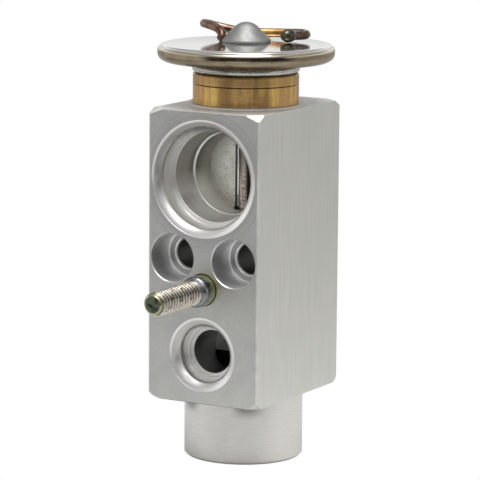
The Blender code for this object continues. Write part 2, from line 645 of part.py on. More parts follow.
def smooth_route(points, per_span):
    """A Catmull-Rom curve through the points."""
    result = []
    count = len(points)
    for i in range(count - 1):
        before = points[max(i - 1, 0)]
        start = points[i]
        end = points[i + 1]
        after = points[min(i + 2, count - 1)]
        for j in range(per_span):
            t = j / per_span
            result.append(0.5 * (2 * start + (end - before) * t
                                 + (2 * before - 5 * start + 4 * end - after) * t ** 2
                                 + (3 * start - before - 3 * end + after) * t ** 3))
    result.append(points[-1])
    return result


def curve_part(name, points, radii, finish, resolution):
    """A round bar along a line of points, as a closed mesh."""
    curve = bpy.data.curves.new(name, "CURVE")
    curve.dimensions = "3D"
    curve.bevel_depth = 1.0
    curve.bevel_resolution = resolution
    curve.use_fill_caps = True
    spline = curve.splines.new("POLY")
    spline.points.add(len(points) - 1)
    for point, co, radius in zip(spline.points, points, radii):
        point.co = (*co, 1.0)
        point.radius = radius
    guide = bpy.data.objects.new(name + "_line", curve)
    cutters.objects.link(guide)
    bpy.context.view_layer.update()
    depsgraph = bpy.context.evaluated_depsgraph_get()
    mesh = bpy.data.meshes.new_from_object(guide.evaluated_get(depsgraph))
    mesh.name = name
    bpy.data.objects.remove(guide, do_unlink=True)
    shape = bmesh.new()
    shape.from_mesh(mesh)
    bmesh.ops.remove_doubles(shape, verts=shape.verts, dist=MERGE)
    bmesh.ops.recalc_face_normals(shape, faces=shape.faces)
    shape.to_mesh(mesh)
    shape.free()
    mesh.materials.clear()
    obj = add_part(name, mesh, finish)
    mesh.shade_smooth()
    mesh.set_sharp_from_angle(angle=SHARP_ANGLE)
    return obj


def build_tube():
    """The copper charge tube, pinched shut and soldered at its free end."""
    line = smooth_route(tube_route(), 3)
    tip = line[-1]
    direction = (line[-1] - line[-2]).normalized()
    bulb = []
    radii = [TUBE_RADIUS] * len(line)
    for i in range(1, 9):
        share = i / 8
        bulb.append(tip + direction * TUBE_END_LENGTH * share)
        swell = math.sin(math.pi * min(1.0, 0.12 + share * 0.80))
        swollen = TUBE_RADIUS + (TUBE_END_RADIUS - TUBE_RADIUS) * swell
        radii.append(swollen - TUBE_END_TAPER * share ** 6)
    return curve_part("charge_tube", line + bulb, radii, COPPER, 2)


def build_stem():
    """Pad, sensing rod and push rod, which slide on the valve axis."""
    pad_top = DIAPHRAGM_BOTTOM - SEAT_GAP
    pad_bottom = pad_top - PAD_THICKNESS
    hub_bottom = pad_bottom - PAD_HUB_LENGTH
    seat = SENSING_ROD_RADIUS + SLIDE_GAP
    seat_top = hub_bottom + ROD_SEAT_DEPTH
    points = [(0.0, pad_top), (PAD_RADIUS - 0.4 * MM, pad_top), (PAD_RADIUS, pad_top - 0.4 * MM)]
    points += [(PAD_RADIUS, pad_bottom), (PAD_HUB_RADIUS, pad_bottom), (PAD_HUB_RADIUS, hub_bottom)]
    points += [(seat, hub_bottom), (seat, seat_top), (0.0, seat_top)]
    turned_part("diaphragm_pad", points, STEEL, steps=32)

    rod_top = seat_top - SEAT_GAP
    retainer_top = POCKET_BOTTOM + 2 * SLIDE_GAP + 2 * ROD_ORING_SECTION + SLIDE_GAP + RETAINER_THICKNESS
    rod_bottom = retainer_top + SENSING_ROD_STOP + SEAT_GAP
    socket = PUSH_ROD_RADIUS + SLIDE_GAP
    radius = SENSING_ROD_RADIUS
    socket_top = rod_bottom + PUSH_ROD_SOCKET
    points = [(0.0, rod_top), (radius - ROD_END_BREAK, rod_top), (radius, rod_top - ROD_END_BREAK)]
    points += [(radius, rod_bottom), (socket, rod_bottom), (socket, socket_top), (0.0, socket_top)]
    turned_part("sensing_rod", points, ROD_METAL, steps=SMALL_STEPS)

    ball_drop = math.sqrt((BALL_RADIUS + BALL_GAP) ** 2 - ORIFICE_RADIUS ** 2)
    ball_z = SEAT_Z - ball_drop
    top = socket_top - SEAT_GAP
    bottom = ball_z + BALL_RADIUS + SEAT_GAP
    radius = PUSH_ROD_RADIUS
    points = [(0.0, top), (radius - ROD_END_BREAK, top), (radius, top - ROD_END_BREAK)]
    points += [(radius, bottom + ROD_END_BREAK), (radius - ROD_END_BREAK, bottom), (0.0, bottom)]
    turned_part("push_rod", points, STEEL, steps=SMALL_STEPS)
    return ball_z


def build_rod_seal():
    """The seal ring on the push rod and the washer that holds it down."""
    ring = (PUSH_ROD_RADIUS + STEM_HOLE_RADIUS) / 2
    z = POCKET_BOTTOM + SLIDE_GAP + ROD_ORING_SECTION
    turned_part("rod_oring", torus_profile(ring, ROD_ORING_SECTION, z), RUBBER, closed=True,
                steps=SMALL_STEPS)
    bottom = z + ROD_ORING_SECTION + SLIDE_GAP
    top = bottom + RETAINER_THICKNESS
    inner = PUSH_ROD_RADIUS + SEAT_GAP
    outer = STEM_HOLE_RADIUS - SLIDE_GAP
    points = [(outer, top), (outer, bottom), (inner, bottom), (inner, top)]
    turned_part("seal_retainer", points, BRASS, closed=True, steps=SMALL_STEPS)


def build_ball(ball_z):
    """The valve ball under its seat."""
    mesh = bpy.data.meshes.new("valve_ball")
    shape = bmesh.new()
    bmesh.ops.create_uvsphere(shape, u_segments=16, v_segments=10, radius=BALL_RADIUS)
    shape.to_mesh(mesh)
    shape.free()
    ball = add_part("valve_ball", mesh, STEEL)
    ball.location = (0.0, AXIS_Y, ball_z)
    mesh.shade_smooth()
    return ball


def build_carrier(ball_z):
    """The carrier that cups the ball and stands on the spring."""
    apex = ball_z - (BALL_RADIUS + SLIDE_GAP) / math.cos(CARRIER_CUP_ANGLE)
    rim = apex + CARRIER_CUP_RADIUS * math.tan(CARRIER_CUP_ANGLE)
    flange_top = rim - CARRIER_NECK_LENGTH
    flange_bottom = flange_top - CARRIER_FLANGE_THICKNESS
    spigot = SPRING_RADIUS - SPRING_WIRE_RADIUS - SEAT_GAP
    bottom = flange_bottom - CARRIER_SPIGOT_LENGTH
    points = [(0.0, apex), (CARRIER_CUP_RADIUS, rim), (CARRIER_NECK_RADIUS, rim)]
    points += [(CARRIER_NECK_RADIUS, flange_top), (CARRIER_FLANGE_RADIUS, flange_top)]
    points += [(CARRIER_FLANGE_RADIUS, flange_bottom), (spigot, flange_bottom)]
    points += [(spigot, bottom + 0.5 * MM), (spigot - 0.5 * MM, bottom), (0.0, bottom)]
    turned_part("ball_carrier", points, BRASS, steps=32)
    return flange_bottom


def nut_heights():
    """Bottom, thread top and spigot top of the adjusting nut."""
    bottom = TAIL_BOTTOM + NUT_RECESS
    thread_top = bottom + NUT_THREAD_LENGTH
    return bottom, thread_top, thread_top + NUT_SPIGOT_LENGTH


def build_nut():
    """The adjusting nut: threaded rim, sealed spigot, spring pocket and hex socket."""
    bottom, thread_top, top = nut_heights()
    rim = ADJUSTER_BORE_RADIUS - SEAT_GAP
    spigot = CHAMBER_RADIUS - SEAT_GAP
    groove_top = top - NUT_GROOVE_TOP
    groove_bottom = groove_top - NUT_GROOVE_HEIGHT
    pocket = SPRING_RADIUS + SPRING_WIRE_RADIUS + SEAT_GAP
    groove = spigot - 2 * NUT_ORING_SECTION - SLIDE_GAP
    points = [(0.0, top - NUT_POCKET_DEPTH), (pocket, top - NUT_POCKET_DEPTH), (pocket, top)]
    points += [(spigot, top), (spigot, groove_top), (groove, groove_top), (groove, groove_bottom)]
    points += [(spigot, groove_bottom), (spigot, thread_top), (rim - NUT_EDGE_BREAK, thread_top)]
    points += [(rim, thread_top - NUT_EDGE_BREAK), (rim, bottom + NUT_EDGE_BREAK)]
    points += [(rim - NUT_EDGE_BREAK, bottom), (0.0, bottom)]
    nut = turned_part("adjusting_nut", points, BRASS, steps=40, origin_z=bottom)

    mesh = bpy.data.meshes.new("hex_socket")
    shape = bmesh.new()
    corner = HEX_ACROSS_FLATS / math.sqrt(3)
    length = HEX_DEPTH + CUT_MARGIN
    bmesh.ops.create_cone(shape, cap_ends=True, segments=6, radius1=corner, radius2=corner,
                          depth=length, matrix=Matrix.Rotation(math.radians(30.0), 4, "Z"))
    shape.to_mesh(mesh)
    shape.free()
    cutter = add_cutter(bpy.data.objects.new("hex_socket", mesh))
    cutter.location = (0.0, AXIS_Y, bottom + HEX_DEPTH - length / 2)
    cut(nut, cutter)

    ring_z = (groove_top + groove_bottom) / 2
    ring = (groove + CHAMBER_RADIUS) / 2
    turned_part("adjuster_oring", torus_profile(ring, NUT_ORING_SECTION, ring_z), RUBBER,
                closed=True, steps=SMALL_STEPS)
    return top - NUT_POCKET_DEPTH


def build_spring(flange_bottom, pocket_floor):
    """The superheat spring between carrier and nut, with closed end coils."""
    high = flange_bottom - SEAT_GAP - SPRING_WIRE_RADIUS
    low = pocket_floor + SEAT_GAP + SPRING_WIRE_RADIUS
    per_turn = 10
    count = int(SPRING_COILS * per_turn)
    end_pitch = SPRING_END_PITCH
    middle_pitch = (high - low - 2 * end_pitch) / (SPRING_COILS - 2)
    points = []
    z = low
    for i in range(count + 1):
        turn = i / per_turn
        angle = 2 * math.pi * turn
        points.append(Vector((SPRING_RADIUS * math.cos(angle),
                              AXIS_Y + SPRING_RADIUS * math.sin(angle), z)))
        inside = 1.0 <= turn < SPRING_COILS - 1
        z += (middle_pitch if inside else end_pitch) / per_turn
    radii = [SPRING_WIRE_RADIUS] * len(points)
    return curve_part("superheat_spring", points, radii, STEEL, 2)


build_body()
build_stud()
build_collar()
build_collar_oring()
build_neck_ring()
build_lower_shell()
build_diaphragm()
build_upper_shell()
build_cap()
build_tube()
ball_height = build_stem()
build_rod_seal()
build_ball(ball_height)
carrier_flange = build_carrier(ball_height)
pocket_floor = build_nut()
build_spring(carrier_flange, pocket_floor)
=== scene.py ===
# %% [markdown]
# # Block-type thermostatic expansion valve
#
# A machined aluminium block with two pairs of ports, a brass-collared stainless power
# head on top, a plated stud in front and a turned tail below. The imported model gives
# the places and the main sizes. Its faceted pieces are made again here as fine smooth
# meshes, each one riding on the body of the piece that it stands for.

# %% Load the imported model
import math

import bmesh
import bpy
import numpy as np
from mathutils import Matrix, Vector
from mathutils import noise as perlin


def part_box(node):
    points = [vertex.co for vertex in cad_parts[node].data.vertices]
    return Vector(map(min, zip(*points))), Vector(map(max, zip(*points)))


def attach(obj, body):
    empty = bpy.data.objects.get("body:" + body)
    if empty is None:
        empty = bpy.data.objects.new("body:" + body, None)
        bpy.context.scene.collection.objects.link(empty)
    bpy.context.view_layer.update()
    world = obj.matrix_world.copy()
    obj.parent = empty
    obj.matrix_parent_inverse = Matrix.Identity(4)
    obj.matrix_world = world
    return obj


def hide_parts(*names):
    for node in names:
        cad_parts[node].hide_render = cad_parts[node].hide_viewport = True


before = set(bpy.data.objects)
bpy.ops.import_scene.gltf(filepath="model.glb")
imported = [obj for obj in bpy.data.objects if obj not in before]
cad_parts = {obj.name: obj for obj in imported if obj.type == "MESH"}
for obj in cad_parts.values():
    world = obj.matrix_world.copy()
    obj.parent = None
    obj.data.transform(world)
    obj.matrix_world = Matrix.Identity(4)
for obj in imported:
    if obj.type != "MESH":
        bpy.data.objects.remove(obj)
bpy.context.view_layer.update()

# %% [markdown]
# ## Sizes
#
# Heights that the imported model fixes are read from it. The profile sizes below are the
# design's own, in millimetres, because a box can't tell a bore from a chamfer.

# %% Sizes
MM = 0.001


def low_high(node):
    """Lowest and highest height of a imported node, in millimetres."""
    low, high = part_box(node)
    return low.z / MM, high.z / MM


BODY_LOW, BODY_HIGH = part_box("valve_body")
HALF_WIDTH = BODY_HIGH.x / MM
DEPTH = BODY_HIGH.y / MM
AXIS_Y = DEPTH / 2
TAIL_BOTTOM, BLOCK_TOP = low_high("valve_body")
BLOCK_BOTTOM = -37.6
COLLAR_LOW, COLLAR_TOP = low_high("threaded_collar")
NECK_LOW, NECK_TOP = low_high("neck_ring")
SHELL_LOW, SHELL_TOP = low_high("lower_shell")
RIM_LOW, CROWN_Z = low_high("upper_shell")
CAP_LOW, CAP_TOP = low_high("charge_cap")
SPOT_Z = BLOCK_TOP - 0.3
SUCTION_Z = 21.1
INLET_Z = -24.7
OUTLET_Z = -21.5
STUD_Z = -7.6
BOLT_X = 9.1
TAIL_RADIUS = 15.6
print("block", round(2 * HALF_WIDTH, 2), "x", round(DEPTH, 2), "mm, top at", round(BLOCK_TOP, 2))
print("crown at", round(CROWN_Z, 2), "mm, cap up to", round(CAP_TOP, 2), "mm")

# %% [markdown]
# ## Mesh tools
#
# Nearly every piece of this valve is turned, so most meshes are a profile swept round
# an axis. Corners of a profile are broken with short arcs, because a machined edge is
# never quite sharp and its thin bright line is what the eye reads as metal.

# %% Mesh tools
STRAIGHT = math.pi - 0.02


def rounded(points, radii, steps=4):
    """The profile with an arc in place of each corner whose radius isn't zero."""
    result = []
    for i, (point, radius) in enumerate(zip(points, radii)):
        here = Vector(point)
        if radius <= 0 or i in (0, len(points) - 1):
            result.append(here)
            continue
        before = Vector(points[i - 1]) - here
        after = Vector(points[i + 1]) - here
        turn = before.angle(after)
        if turn > STRAIGHT:
            result.append(here)
            continue
        reach = min(radius / math.tan(turn / 2), before.length * 0.49, after.length * 0.49)
        radius = reach * math.tan(turn / 2)
        start = here + before.normalized() * reach
        end = here + after.normalized() * reach
        middle = (before.normalized() + after.normalized()).normalized()
        centre = here + middle * (radius / math.sin(turn / 2))
        a = start - centre
        b = end - centre
        for j in range(steps + 1):
            share = j / steps
            swing = (a * (1 - share) + b * share).normalized() * radius
            result.append(centre + swing)
    return [(point.x, point.y) for point in result]


def profile_object(name, points, closed):
    """An object whose mesh is the profile's edges, radius along X and height along Z."""
    mesh = bpy.data.meshes.new(name)
    verts = [(radius * MM, 0.0, height * MM) for radius, height in points]
    edges = [(i, i + 1) for i in range(len(points) - 1)]
    if closed:
        edges.append((len(points) - 1, 0))
    mesh.from_pydata(verts, edges, [])
    return bpy.data.objects.new(name, mesh)


def linked_mesh(name, shape):
    """An object made of a shape, which is freed."""
    mesh = bpy.data.meshes.new(name)
    shape.to_mesh(mesh)
    shape.free()
    obj = bpy.data.objects.new(name, mesh)
    bpy.context.scene.collection.objects.link(obj)
    return obj


def baked(obj):
    """The object with its modifiers applied and its transform written into the mesh."""
    bpy.context.view_layer.update()
    depsgraph = bpy.context.evaluated_depsgraph_get()
    mesh = bpy.data.meshes.new_from_object(obj.evaluated_get(depsgraph))
    mesh.transform(obj.matrix_world)
    obj.modifiers.clear()
    obj.data = mesh
    obj.matrix_world = Matrix.Identity(4)
    return obj


def smooth(obj, angle=30.0):
    """Smooth shading between sharp edges, with flat faces kept flat."""
    obj.data.shade_smooth()
    obj.data.set_sharp_from_angle(angle=math.radians(angle))
    weighted = obj.modifiers.new("flat faces stay flat", "WEIGHTED_NORMAL")
    weighted.keep_sharp = True
    weighted.weight = 60


def turned(name, points, closed=False, steps=128, place=(0.0, None, 0.0), pitch=0.0):
    """A turned solid. Pitch 90 points its axis out of the front, -90 out of the back."""
    obj = profile_object(name, points, closed)
    bpy.context.scene.collection.objects.link(obj)
    y = AXIS_Y if place[1] is None else place[1]
    obj.location = (place[0] * MM, y * MM, place[2] * MM)
    obj.rotation_euler = (math.radians(pitch), 0.0, 0.0)
    screw = obj.modifiers.new("turn", "SCREW")
    screw.axis = "Z"
    screw.steps = steps
    screw.render_steps = steps
    screw.use_merge_vertices = True
    screw.merge_threshold = 0.000001
    return baked(obj)


def combine(obj, cutter, operation):
    """One exact Boolean, after which the cutter is removed."""
    boolean = obj.modifiers.new("cut", "BOOLEAN")
    boolean.operation = operation
    boolean.solver = "EXACT"
    boolean.object = cutter
    baked(obj)
    bpy.data.objects.remove(cutter, do_unlink=True)


def report(obj):
    """Prints the triangles of an object and how many edges don't have two faces."""
    shape = bmesh.new()
    shape.from_mesh(obj.data)
    open_edges = sum(1 for edge in shape.edges if len(edge.link_faces) != 2)
    shape.free()
    obj.data.calc_loop_triangles()
    print(obj.name, len(obj.data.loop_triangles), "triangles,", open_edges, "open edges")


# %% [markdown]
# ## The block
#
# The real part is a length of extruded bar. A lathe faces its ends, clips the upper
# corners with a shallow cone, rounds the lower ones with a curve, leaves a low raised
# seat for the power head and turns the tail. The ports, bolt holes and the stud's hole
# are bored from the front and the back, and the head's socket from above. The same
# order is followed here, with 128 facets to a bore.

# %% Bar, turned ends and tail
PORT_TURN = 128
CORNER_REACH = 24.85
CONE_SLOPE = math.tan(math.radians(35.0))
LOWER_CURVE = [(27.9, 8.0), (27.6, 3.4), (27.2, 2.1), (26.6, 1.1), (25.7, 0.25), (24.6, -0.25),
               (22.0, -0.9), (0.0, -2.0)]
SEAT_RADIUS, SEAT_TOP = 15.4, BLOCK_TOP + 0.42


def bar():
    """The extruded bar, its upright edges rounded and its end edges lightly broken."""
    shape = bmesh.new()
    bmesh.ops.create_cube(shape, size=1.0)
    height = BLOCK_TOP - BLOCK_BOTTOM
    bmesh.ops.scale(shape, vec=(2 * HALF_WIDTH * MM, DEPTH * MM, height * MM), verts=shape.verts)
    middle = (BLOCK_TOP + BLOCK_BOTTOM) / 2
    bmesh.ops.translate(shape, vec=(0.0, AXIS_Y * MM, middle * MM), verts=shape.verts)
    upright = [edge for edge in shape.edges
               if abs(edge.verts[0].co.z - edge.verts[1].co.z) > height * MM / 2]
    bmesh.ops.bevel(shape, geom=upright, offset=0.7 * MM, segments=5, affect="EDGES", profile=0.5)
    ends = [edge for edge in shape.edges
            if abs(edge.verts[0].co.z - edge.verts[1].co.z) < 1e-7
            and any(abs(face.normal.z) > 0.9 for face in edge.link_faces)]
    bmesh.ops.bevel(shape, geom=ends, offset=0.14 * MM, segments=2, affect="EDGES", profile=0.5)
    return linked_mesh("block", shape)


def end_cones():
    """Turned envelope: a plain cone clips the upper corners, a curve rounds the lower ones."""
    reach = 30.0
    drop = (reach - CORNER_REACH) * CONE_SLOPE
    narrow = CORNER_REACH - 2.0 / CONE_SLOPE
    points = [(0.0, BLOCK_TOP + 2), (narrow, BLOCK_TOP + 2), (reach, BLOCK_TOP - drop)]
    points += [(radius, BLOCK_BOTTOM + above) for radius, above in LOWER_CURVE]
    return turned("end_cones", points, steps=PORT_TURN)


def tail():
    """The turned tail with its broken lower edge."""
    points = [(0.0, BLOCK_BOTTOM + 2), (TAIL_RADIUS, BLOCK_BOTTOM + 2), (TAIL_RADIUS, TAIL_BOTTOM + 0.6)]
    points += [(TAIL_RADIUS - 0.6, TAIL_BOTTOM), (0.0, TAIL_BOTTOM)]
    return turned("tail", rounded(points, [0, 0, 0.3, 0.3, 0]), steps=PORT_TURN)


block = bar()
combine(block, end_cones(), "INTERSECT")
seat = [(0.0, BLOCK_TOP - 1), (SEAT_RADIUS, BLOCK_TOP - 1), (SEAT_RADIUS, SEAT_TOP), (0.0, SEAT_TOP)]
combine(block, turned("seat", rounded(seat, [0, 0, 0.14, 0]), steps=PORT_TURN), "UNION")
combine(block, tail(), "UNION")
report(block)

# %% [markdown]
# ### Ports and holes
#
# Each port is rounded over at its mouth and goes inwards in steps. A big port has a seal
# bore, a second bore with a slight taper, a short chamfer and an inner bore. The big
# front bore stops at the valve axis, so a thin wall is left between front and back. The
# stem hole cuts that wall open, which makes the upright slot with the sensing rod in it.

# %% Ports, bolt holes and bores
BREAK = 0.3
ARC_START = math.radians(30.0)


def port_profile(mouth, seal, seal_depth, inner):
    """A port from outside to inside as (radius, -depth): rounded mouth, then its bores."""
    rounding = mouth - seal
    points = [(0.0, 2.0), (mouth + 0.12, 2.0), (mouth + 0.12, 0.04), (mouth, -0.08)]
    for i in range(1, 19):
        turn = math.radians(30.0 + 60.0 * i / 18)
        inward = (math.sin(turn) - 0.5) / 0.5
        deep = 1 - math.cos(turn) / math.cos(ARC_START)
        points.append((mouth - rounding * inward, -0.08 - (rounding - 0.08) * deep))
    radii = [0.0] * len(points)
    points.append((seal, -seal_depth))
    radii.append(0.12)
    depth = seal_depth
    for radius, end, lead, taper in inner:
        points += [(radius + lead, -depth), (radius, -depth - 0.6 * lead), (radius - taper, -end)]
        radii += [0.2, 0.2, 0.12]
        if not lead:
            del points[-3], radii[-3]
        depth = end
    points.append((0.0, -depth))
    radii.append(0)
    return rounded(points, radii)


def bolt_profile():
    """A counterbored hole through the block, with a broken edge at the inner hole."""
    points = [(0.0, 2.0), (6.6, 2.0), (6.6, 0.05), (6.35, -0.2), (6.35, -8.8), (4.4, -8.8),
              (3.85, -9.35), (3.85, -DEPTH + BREAK), (4.25, -DEPTH - 0.1), (4.25, -DEPTH - 2),
              (0.0, -DEPTH - 2)]
    return rounded(points, [0, 0, 0, 0.15, 0.35, 0.12, 0.2, 0.3, 0, 0, 0])


# %% Cut the ports and holes
SUCTION_FLOOR_Y = AXIS_Y - 0.05
WEB_THICK = 1.0
suction = [(11.9, 13.7, 0.0, 0.95), (10.6, SUCTION_FLOOR_Y, 0.3, 0.2)]
suction_back = [(11.9, 13.7, 0.0, 0.95), (10.6, DEPTH - SUCTION_FLOOR_Y - WEB_THICK, 0.3, 0.2)]
inlet = [(6.6, 5.6, 0.0, 0.0), (5.65, AXIS_Y - 5.05, 0.0, 0.0)]
outlet = [(6.6, 5.6, 0.0, 0.0), (5.65, AXIS_Y - 10.1, 0.0, 0.0), (3.2, AXIS_Y + 2.7, 0.0, 0.0)]
ports = [("suction_outlet", (15.2, 13.0, 6.3, suction), 0.0, SUCTION_Z, 90.0),
         ("suction_inlet", (15.2, 13.0, 6.3, suction_back), DEPTH, SUCTION_Z, -90.0),
         ("liquid_inlet", (9.65, 7.3, 5.0, inlet), 0.0, INLET_Z, 90.0),
         ("liquid_outlet", (9.65, 7.3, 5.0, outlet), DEPTH, OUTLET_Z, -90.0)]
for name, sizes, y, z, pitch in ports:
    cutter = turned(name, port_profile(*sizes), place=(0.0, y, z), pitch=pitch, steps=PORT_TURN)
    combine(block, cutter, "DIFFERENCE")
for side in (-1, 1):
    cutter = turned("bolt_hole", bolt_profile(), place=(side * BOLT_X, 0.0, 0.0), pitch=90.0, steps=80)
    combine(block, cutter, "DIFFERENCE")
stud_seat = [(0.0, 2.0), (4.3, 2.0), (4.3, 0.0), (4.15, -0.15), (4.15, -0.6), (3.3, -0.6),
             (3.3, -11.6), (0.0, -11.6)]
combine(block, turned("stud_hole", stud_seat, place=(0.0, 0.0, STUD_Z), pitch=90.0, steps=64), "DIFFERENCE")
report(block)

# %% Socket, stem bore and chamber
stem_bore = [(0.0, BLOCK_TOP + 2), (13.9, BLOCK_TOP + 2), (13.9, SPOT_Z), (12.1, SPOT_Z),
             (12.1, SPOT_Z - 2.1), (10.0, SPOT_Z - 2.1), (10.0, 34.6), (3.0, 34.6), (3.0, 6.0),
             (1.5, 6.0), (1.5, OUTLET_Z), (0.0, OUTLET_Z)]
stem_bore = rounded(stem_bore, [0, 0, 0.12] + [0] * 9)
combine(block, turned("stem_bore", stem_bore, steps=PORT_TURN), "DIFFERENCE")
chamber = [(0.0, OUTLET_Z), (1.75, OUTLET_Z), (1.75, -26.6), (8.0, -26.6), (8.0, -44.0), (9.0, -44.0),
           (9.0, TAIL_BOTTOM + 0.6), (9.7, TAIL_BOTTOM - 0.1), (9.7, TAIL_BOTTOM - 2),
           (0.0, TAIL_BOTTOM - 2)]
chamber = rounded(chamber, [0, 0, 0, 0, 0, 0, 0.3, 0, 0, 0])
combine(block, turned("chamber_bore", chamber, steps=PORT_TURN), "DIFFERENCE")
report(block)

# %% [markdown]
# ## Finishes
#
# Colours are the metals' own, and grain, streaks, turning lines and stain come from noise
# in millimetre coordinates. Some colours also carry painted light, placed by position:
# painted shade in the ports, the deep holes, the chamber, the web's rim, the thread's
# grooves, the brass's scribed line, on the rod and under the block on the tail, painted
# highlights on the bolt seats and partly painted reflection bands on the brass. Three
# effects are shared by several metals, so they are node groups: lines drawn out along one
# direction, rings left by a lathe round an axis, and soft blotches. Most finishes are a
# first colour with coats of other colours over it, each one where its mask says.

# %% Node helpers


class Nodes:
    """A node tree, with short ways to add nodes whose inputs are constants or sockets."""

    def __init__(self, tree):
        self.tree = tree

    def feed(self, socket, value):
        """Sets a socket to a constant, or links another socket to it."""
        if isinstance(value, bpy.types.NodeSocket):
            self.tree.links.new(value, socket)
        else:
            socket.default_value = (*value, 1.0) if socket.type == "RGBA" else value

    def add(self, kind, values=None, **settings):
        """A shader node with its settings and its inputs."""
        node = self.tree.nodes.new("ShaderNode" + kind)
        for key, value in settings.items():
            setattr(node, key, value)
        for key, value in (values or {}).items():
            self.feed(node.inputs[key], value)
        return node

    def calc(self, operation, *values):
        """Result of a math node."""
        return self.add("Math", dict(enumerate(values)), operation=operation).outputs[0]

    def vector(self, operation, *values):
        """Result of a vector math node, a number for a length or a dot product."""
        node = self.add("VectorMath", dict(enumerate(values)), operation=operation)
        return node.outputs["Value" if operation in ("LENGTH", "DOT_PRODUCT") else "Vector"]

    def axes(self, place):
        """The X, Y and Z of a vector."""
        return tuple(self.add("SeparateXYZ", {0: place}).outputs)

    def noise(self, values, **settings):
        """Value of a noise texture."""
        return self.add("TexNoise", values, **settings).outputs["Fac"]

    def spread(self, value, low, high, start=0.3, end=0.7, kind="LINEAR"):
        """Maps a value between start and end to between low and high."""
        values = {"Value": value, "From Min": start, "From Max": end, "To Min": low, "To Max": high}
        return self.add("MapRange", values, interpolation_type=kind).outputs["Result"]

    def mask(self, value, start, end, kind="LINEAR"):
        """Nought where the value is at the start, one where it is at the end."""
        return self.spread(value, 0.0, 1.0, start, end, kind)

    def mix(self, mask, first, second, blend="MIX"):
        """Mixes two colours by a mask."""
        node = self.add("Mix", {"Factor": mask}, data_type="RGBA", blend_type=blend)
        for socket, value in zip([s for s in node.inputs if s.type == "RGBA"], (first, second)):
            self.feed(socket, value)
        return next(s for s in node.outputs if s.type == "RGBA")

    def coats(self, color, *coats):
        """Lays coats, each a mask and a colour, over a first colour."""
        for mask, coat in coats:
            color = self.mix(mask, color, coat)
        return color

    def ramp(self, value, stops):
        """A ramp through stops, each a position with a colour or a grey."""
        node = self.add("ValToRGB", {"Fac": value})
        stops = [(position, (c, c, c) if isinstance(c, float) else c) for position, c in stops]
        ends = node.color_ramp.elements
        ends[0].position, ends[0].color = stops[0][0], (*stops[0][1], 1.0)
        ends[1].position, ends[1].color = stops[-1][0], (*stops[-1][1], 1.0)
        for position, color in stops[1:-1]:
            ends.new(position).color = (*color, 1.0)
        return node.outputs["Color"]


def emptied(owner):
    """The emptied node tree of a material or a world."""
    owner.use_nodes = True
    owner.node_tree.nodes.clear()
    return owner.node_tree


# %% Shared effects
VALUE, VECTOR = "NodeSocketFloat", "NodeSocketVector"


def new_group(name, inputs, output):
    """A node group: its nodes, the sockets that come in and the one that goes out."""
    group = bpy.data.node_groups.new(name, "ShaderNodeTree")
    for label, kind, value in [("Place", VECTOR, (0.0, 0.0, 0.0))] + inputs:
        group.interface.new_socket(label, in_out="INPUT", socket_type=kind).default_value = value
    group.interface.new_socket(output, in_out="OUTPUT", socket_type=VALUE)
    source = group.nodes.new("NodeGroupInput")
    sink = group.nodes.new("NodeGroupOutput")
    return Nodes(group), source.outputs, sink.inputs[0]


def drawn_lines_group():
    """Noise stretched along one direction, as drawing or turning leaves it."""
    inputs = [("Stretch", VECTOR, (1.0, 1.0, 0.05)), ("Detail", VALUE, 3.0)]
    n, source, sink = new_group("drawn_lines", inputs, "Height")
    stretched = n.vector("MULTIPLY", source["Place"], source["Stretch"])
    values = {"Vector": stretched, "Scale": 1.0, "Detail": source["Detail"], "Roughness": 0.6}
    n.feed(sink, n.noise(values))
    return n.tree


def lathe_lines_group():
    """Fine rings round a front-to-back axis, on both its bores and its flat floors."""
    inputs = [("Centre", VECTOR, (0.0, 0.0, 0.0)), ("Fineness", VALUE, 5.0)]
    n, source, sink = new_group("lathe_lines", inputs, "Height")
    x, y, z = n.axes(n.vector("SUBTRACT", source["Place"], source["Centre"]))
    flat = n.add("CombineXYZ", {"X": x, "Z": z}).outputs[0]
    fine = n.calc("MULTIPLY", n.calc("ADD", n.vector("LENGTH", flat), y), source["Fineness"])
    values = {"W": fine, "Scale": 1.0, "Detail": 3.0, "Roughness": 0.65}
    n.feed(sink, n.noise(values, noise_dimensions="1D"))
    return n.tree


def blotches_group():
    """Soft patches between nought and one, for stain, polish and wear."""
    inputs = [("Size", VALUE, 0.2), ("From", VALUE, 0.4), ("To", VALUE, 0.65)]
    n, source, sink = new_group("blotches", inputs, "Mask")
    grain = n.noise({"Vector": source["Place"], "Scale": source["Size"], "Detail": 5.0,
                     "Roughness": 0.6, "Distortion": 0.3})
    n.feed(sink, n.mask(grain, source["From"], source["To"], "SMOOTHSTEP"))
    return n.tree


DRAWN, LATHE, BLOTCH = drawn_lines_group(), lathe_lines_group(), blotches_group()


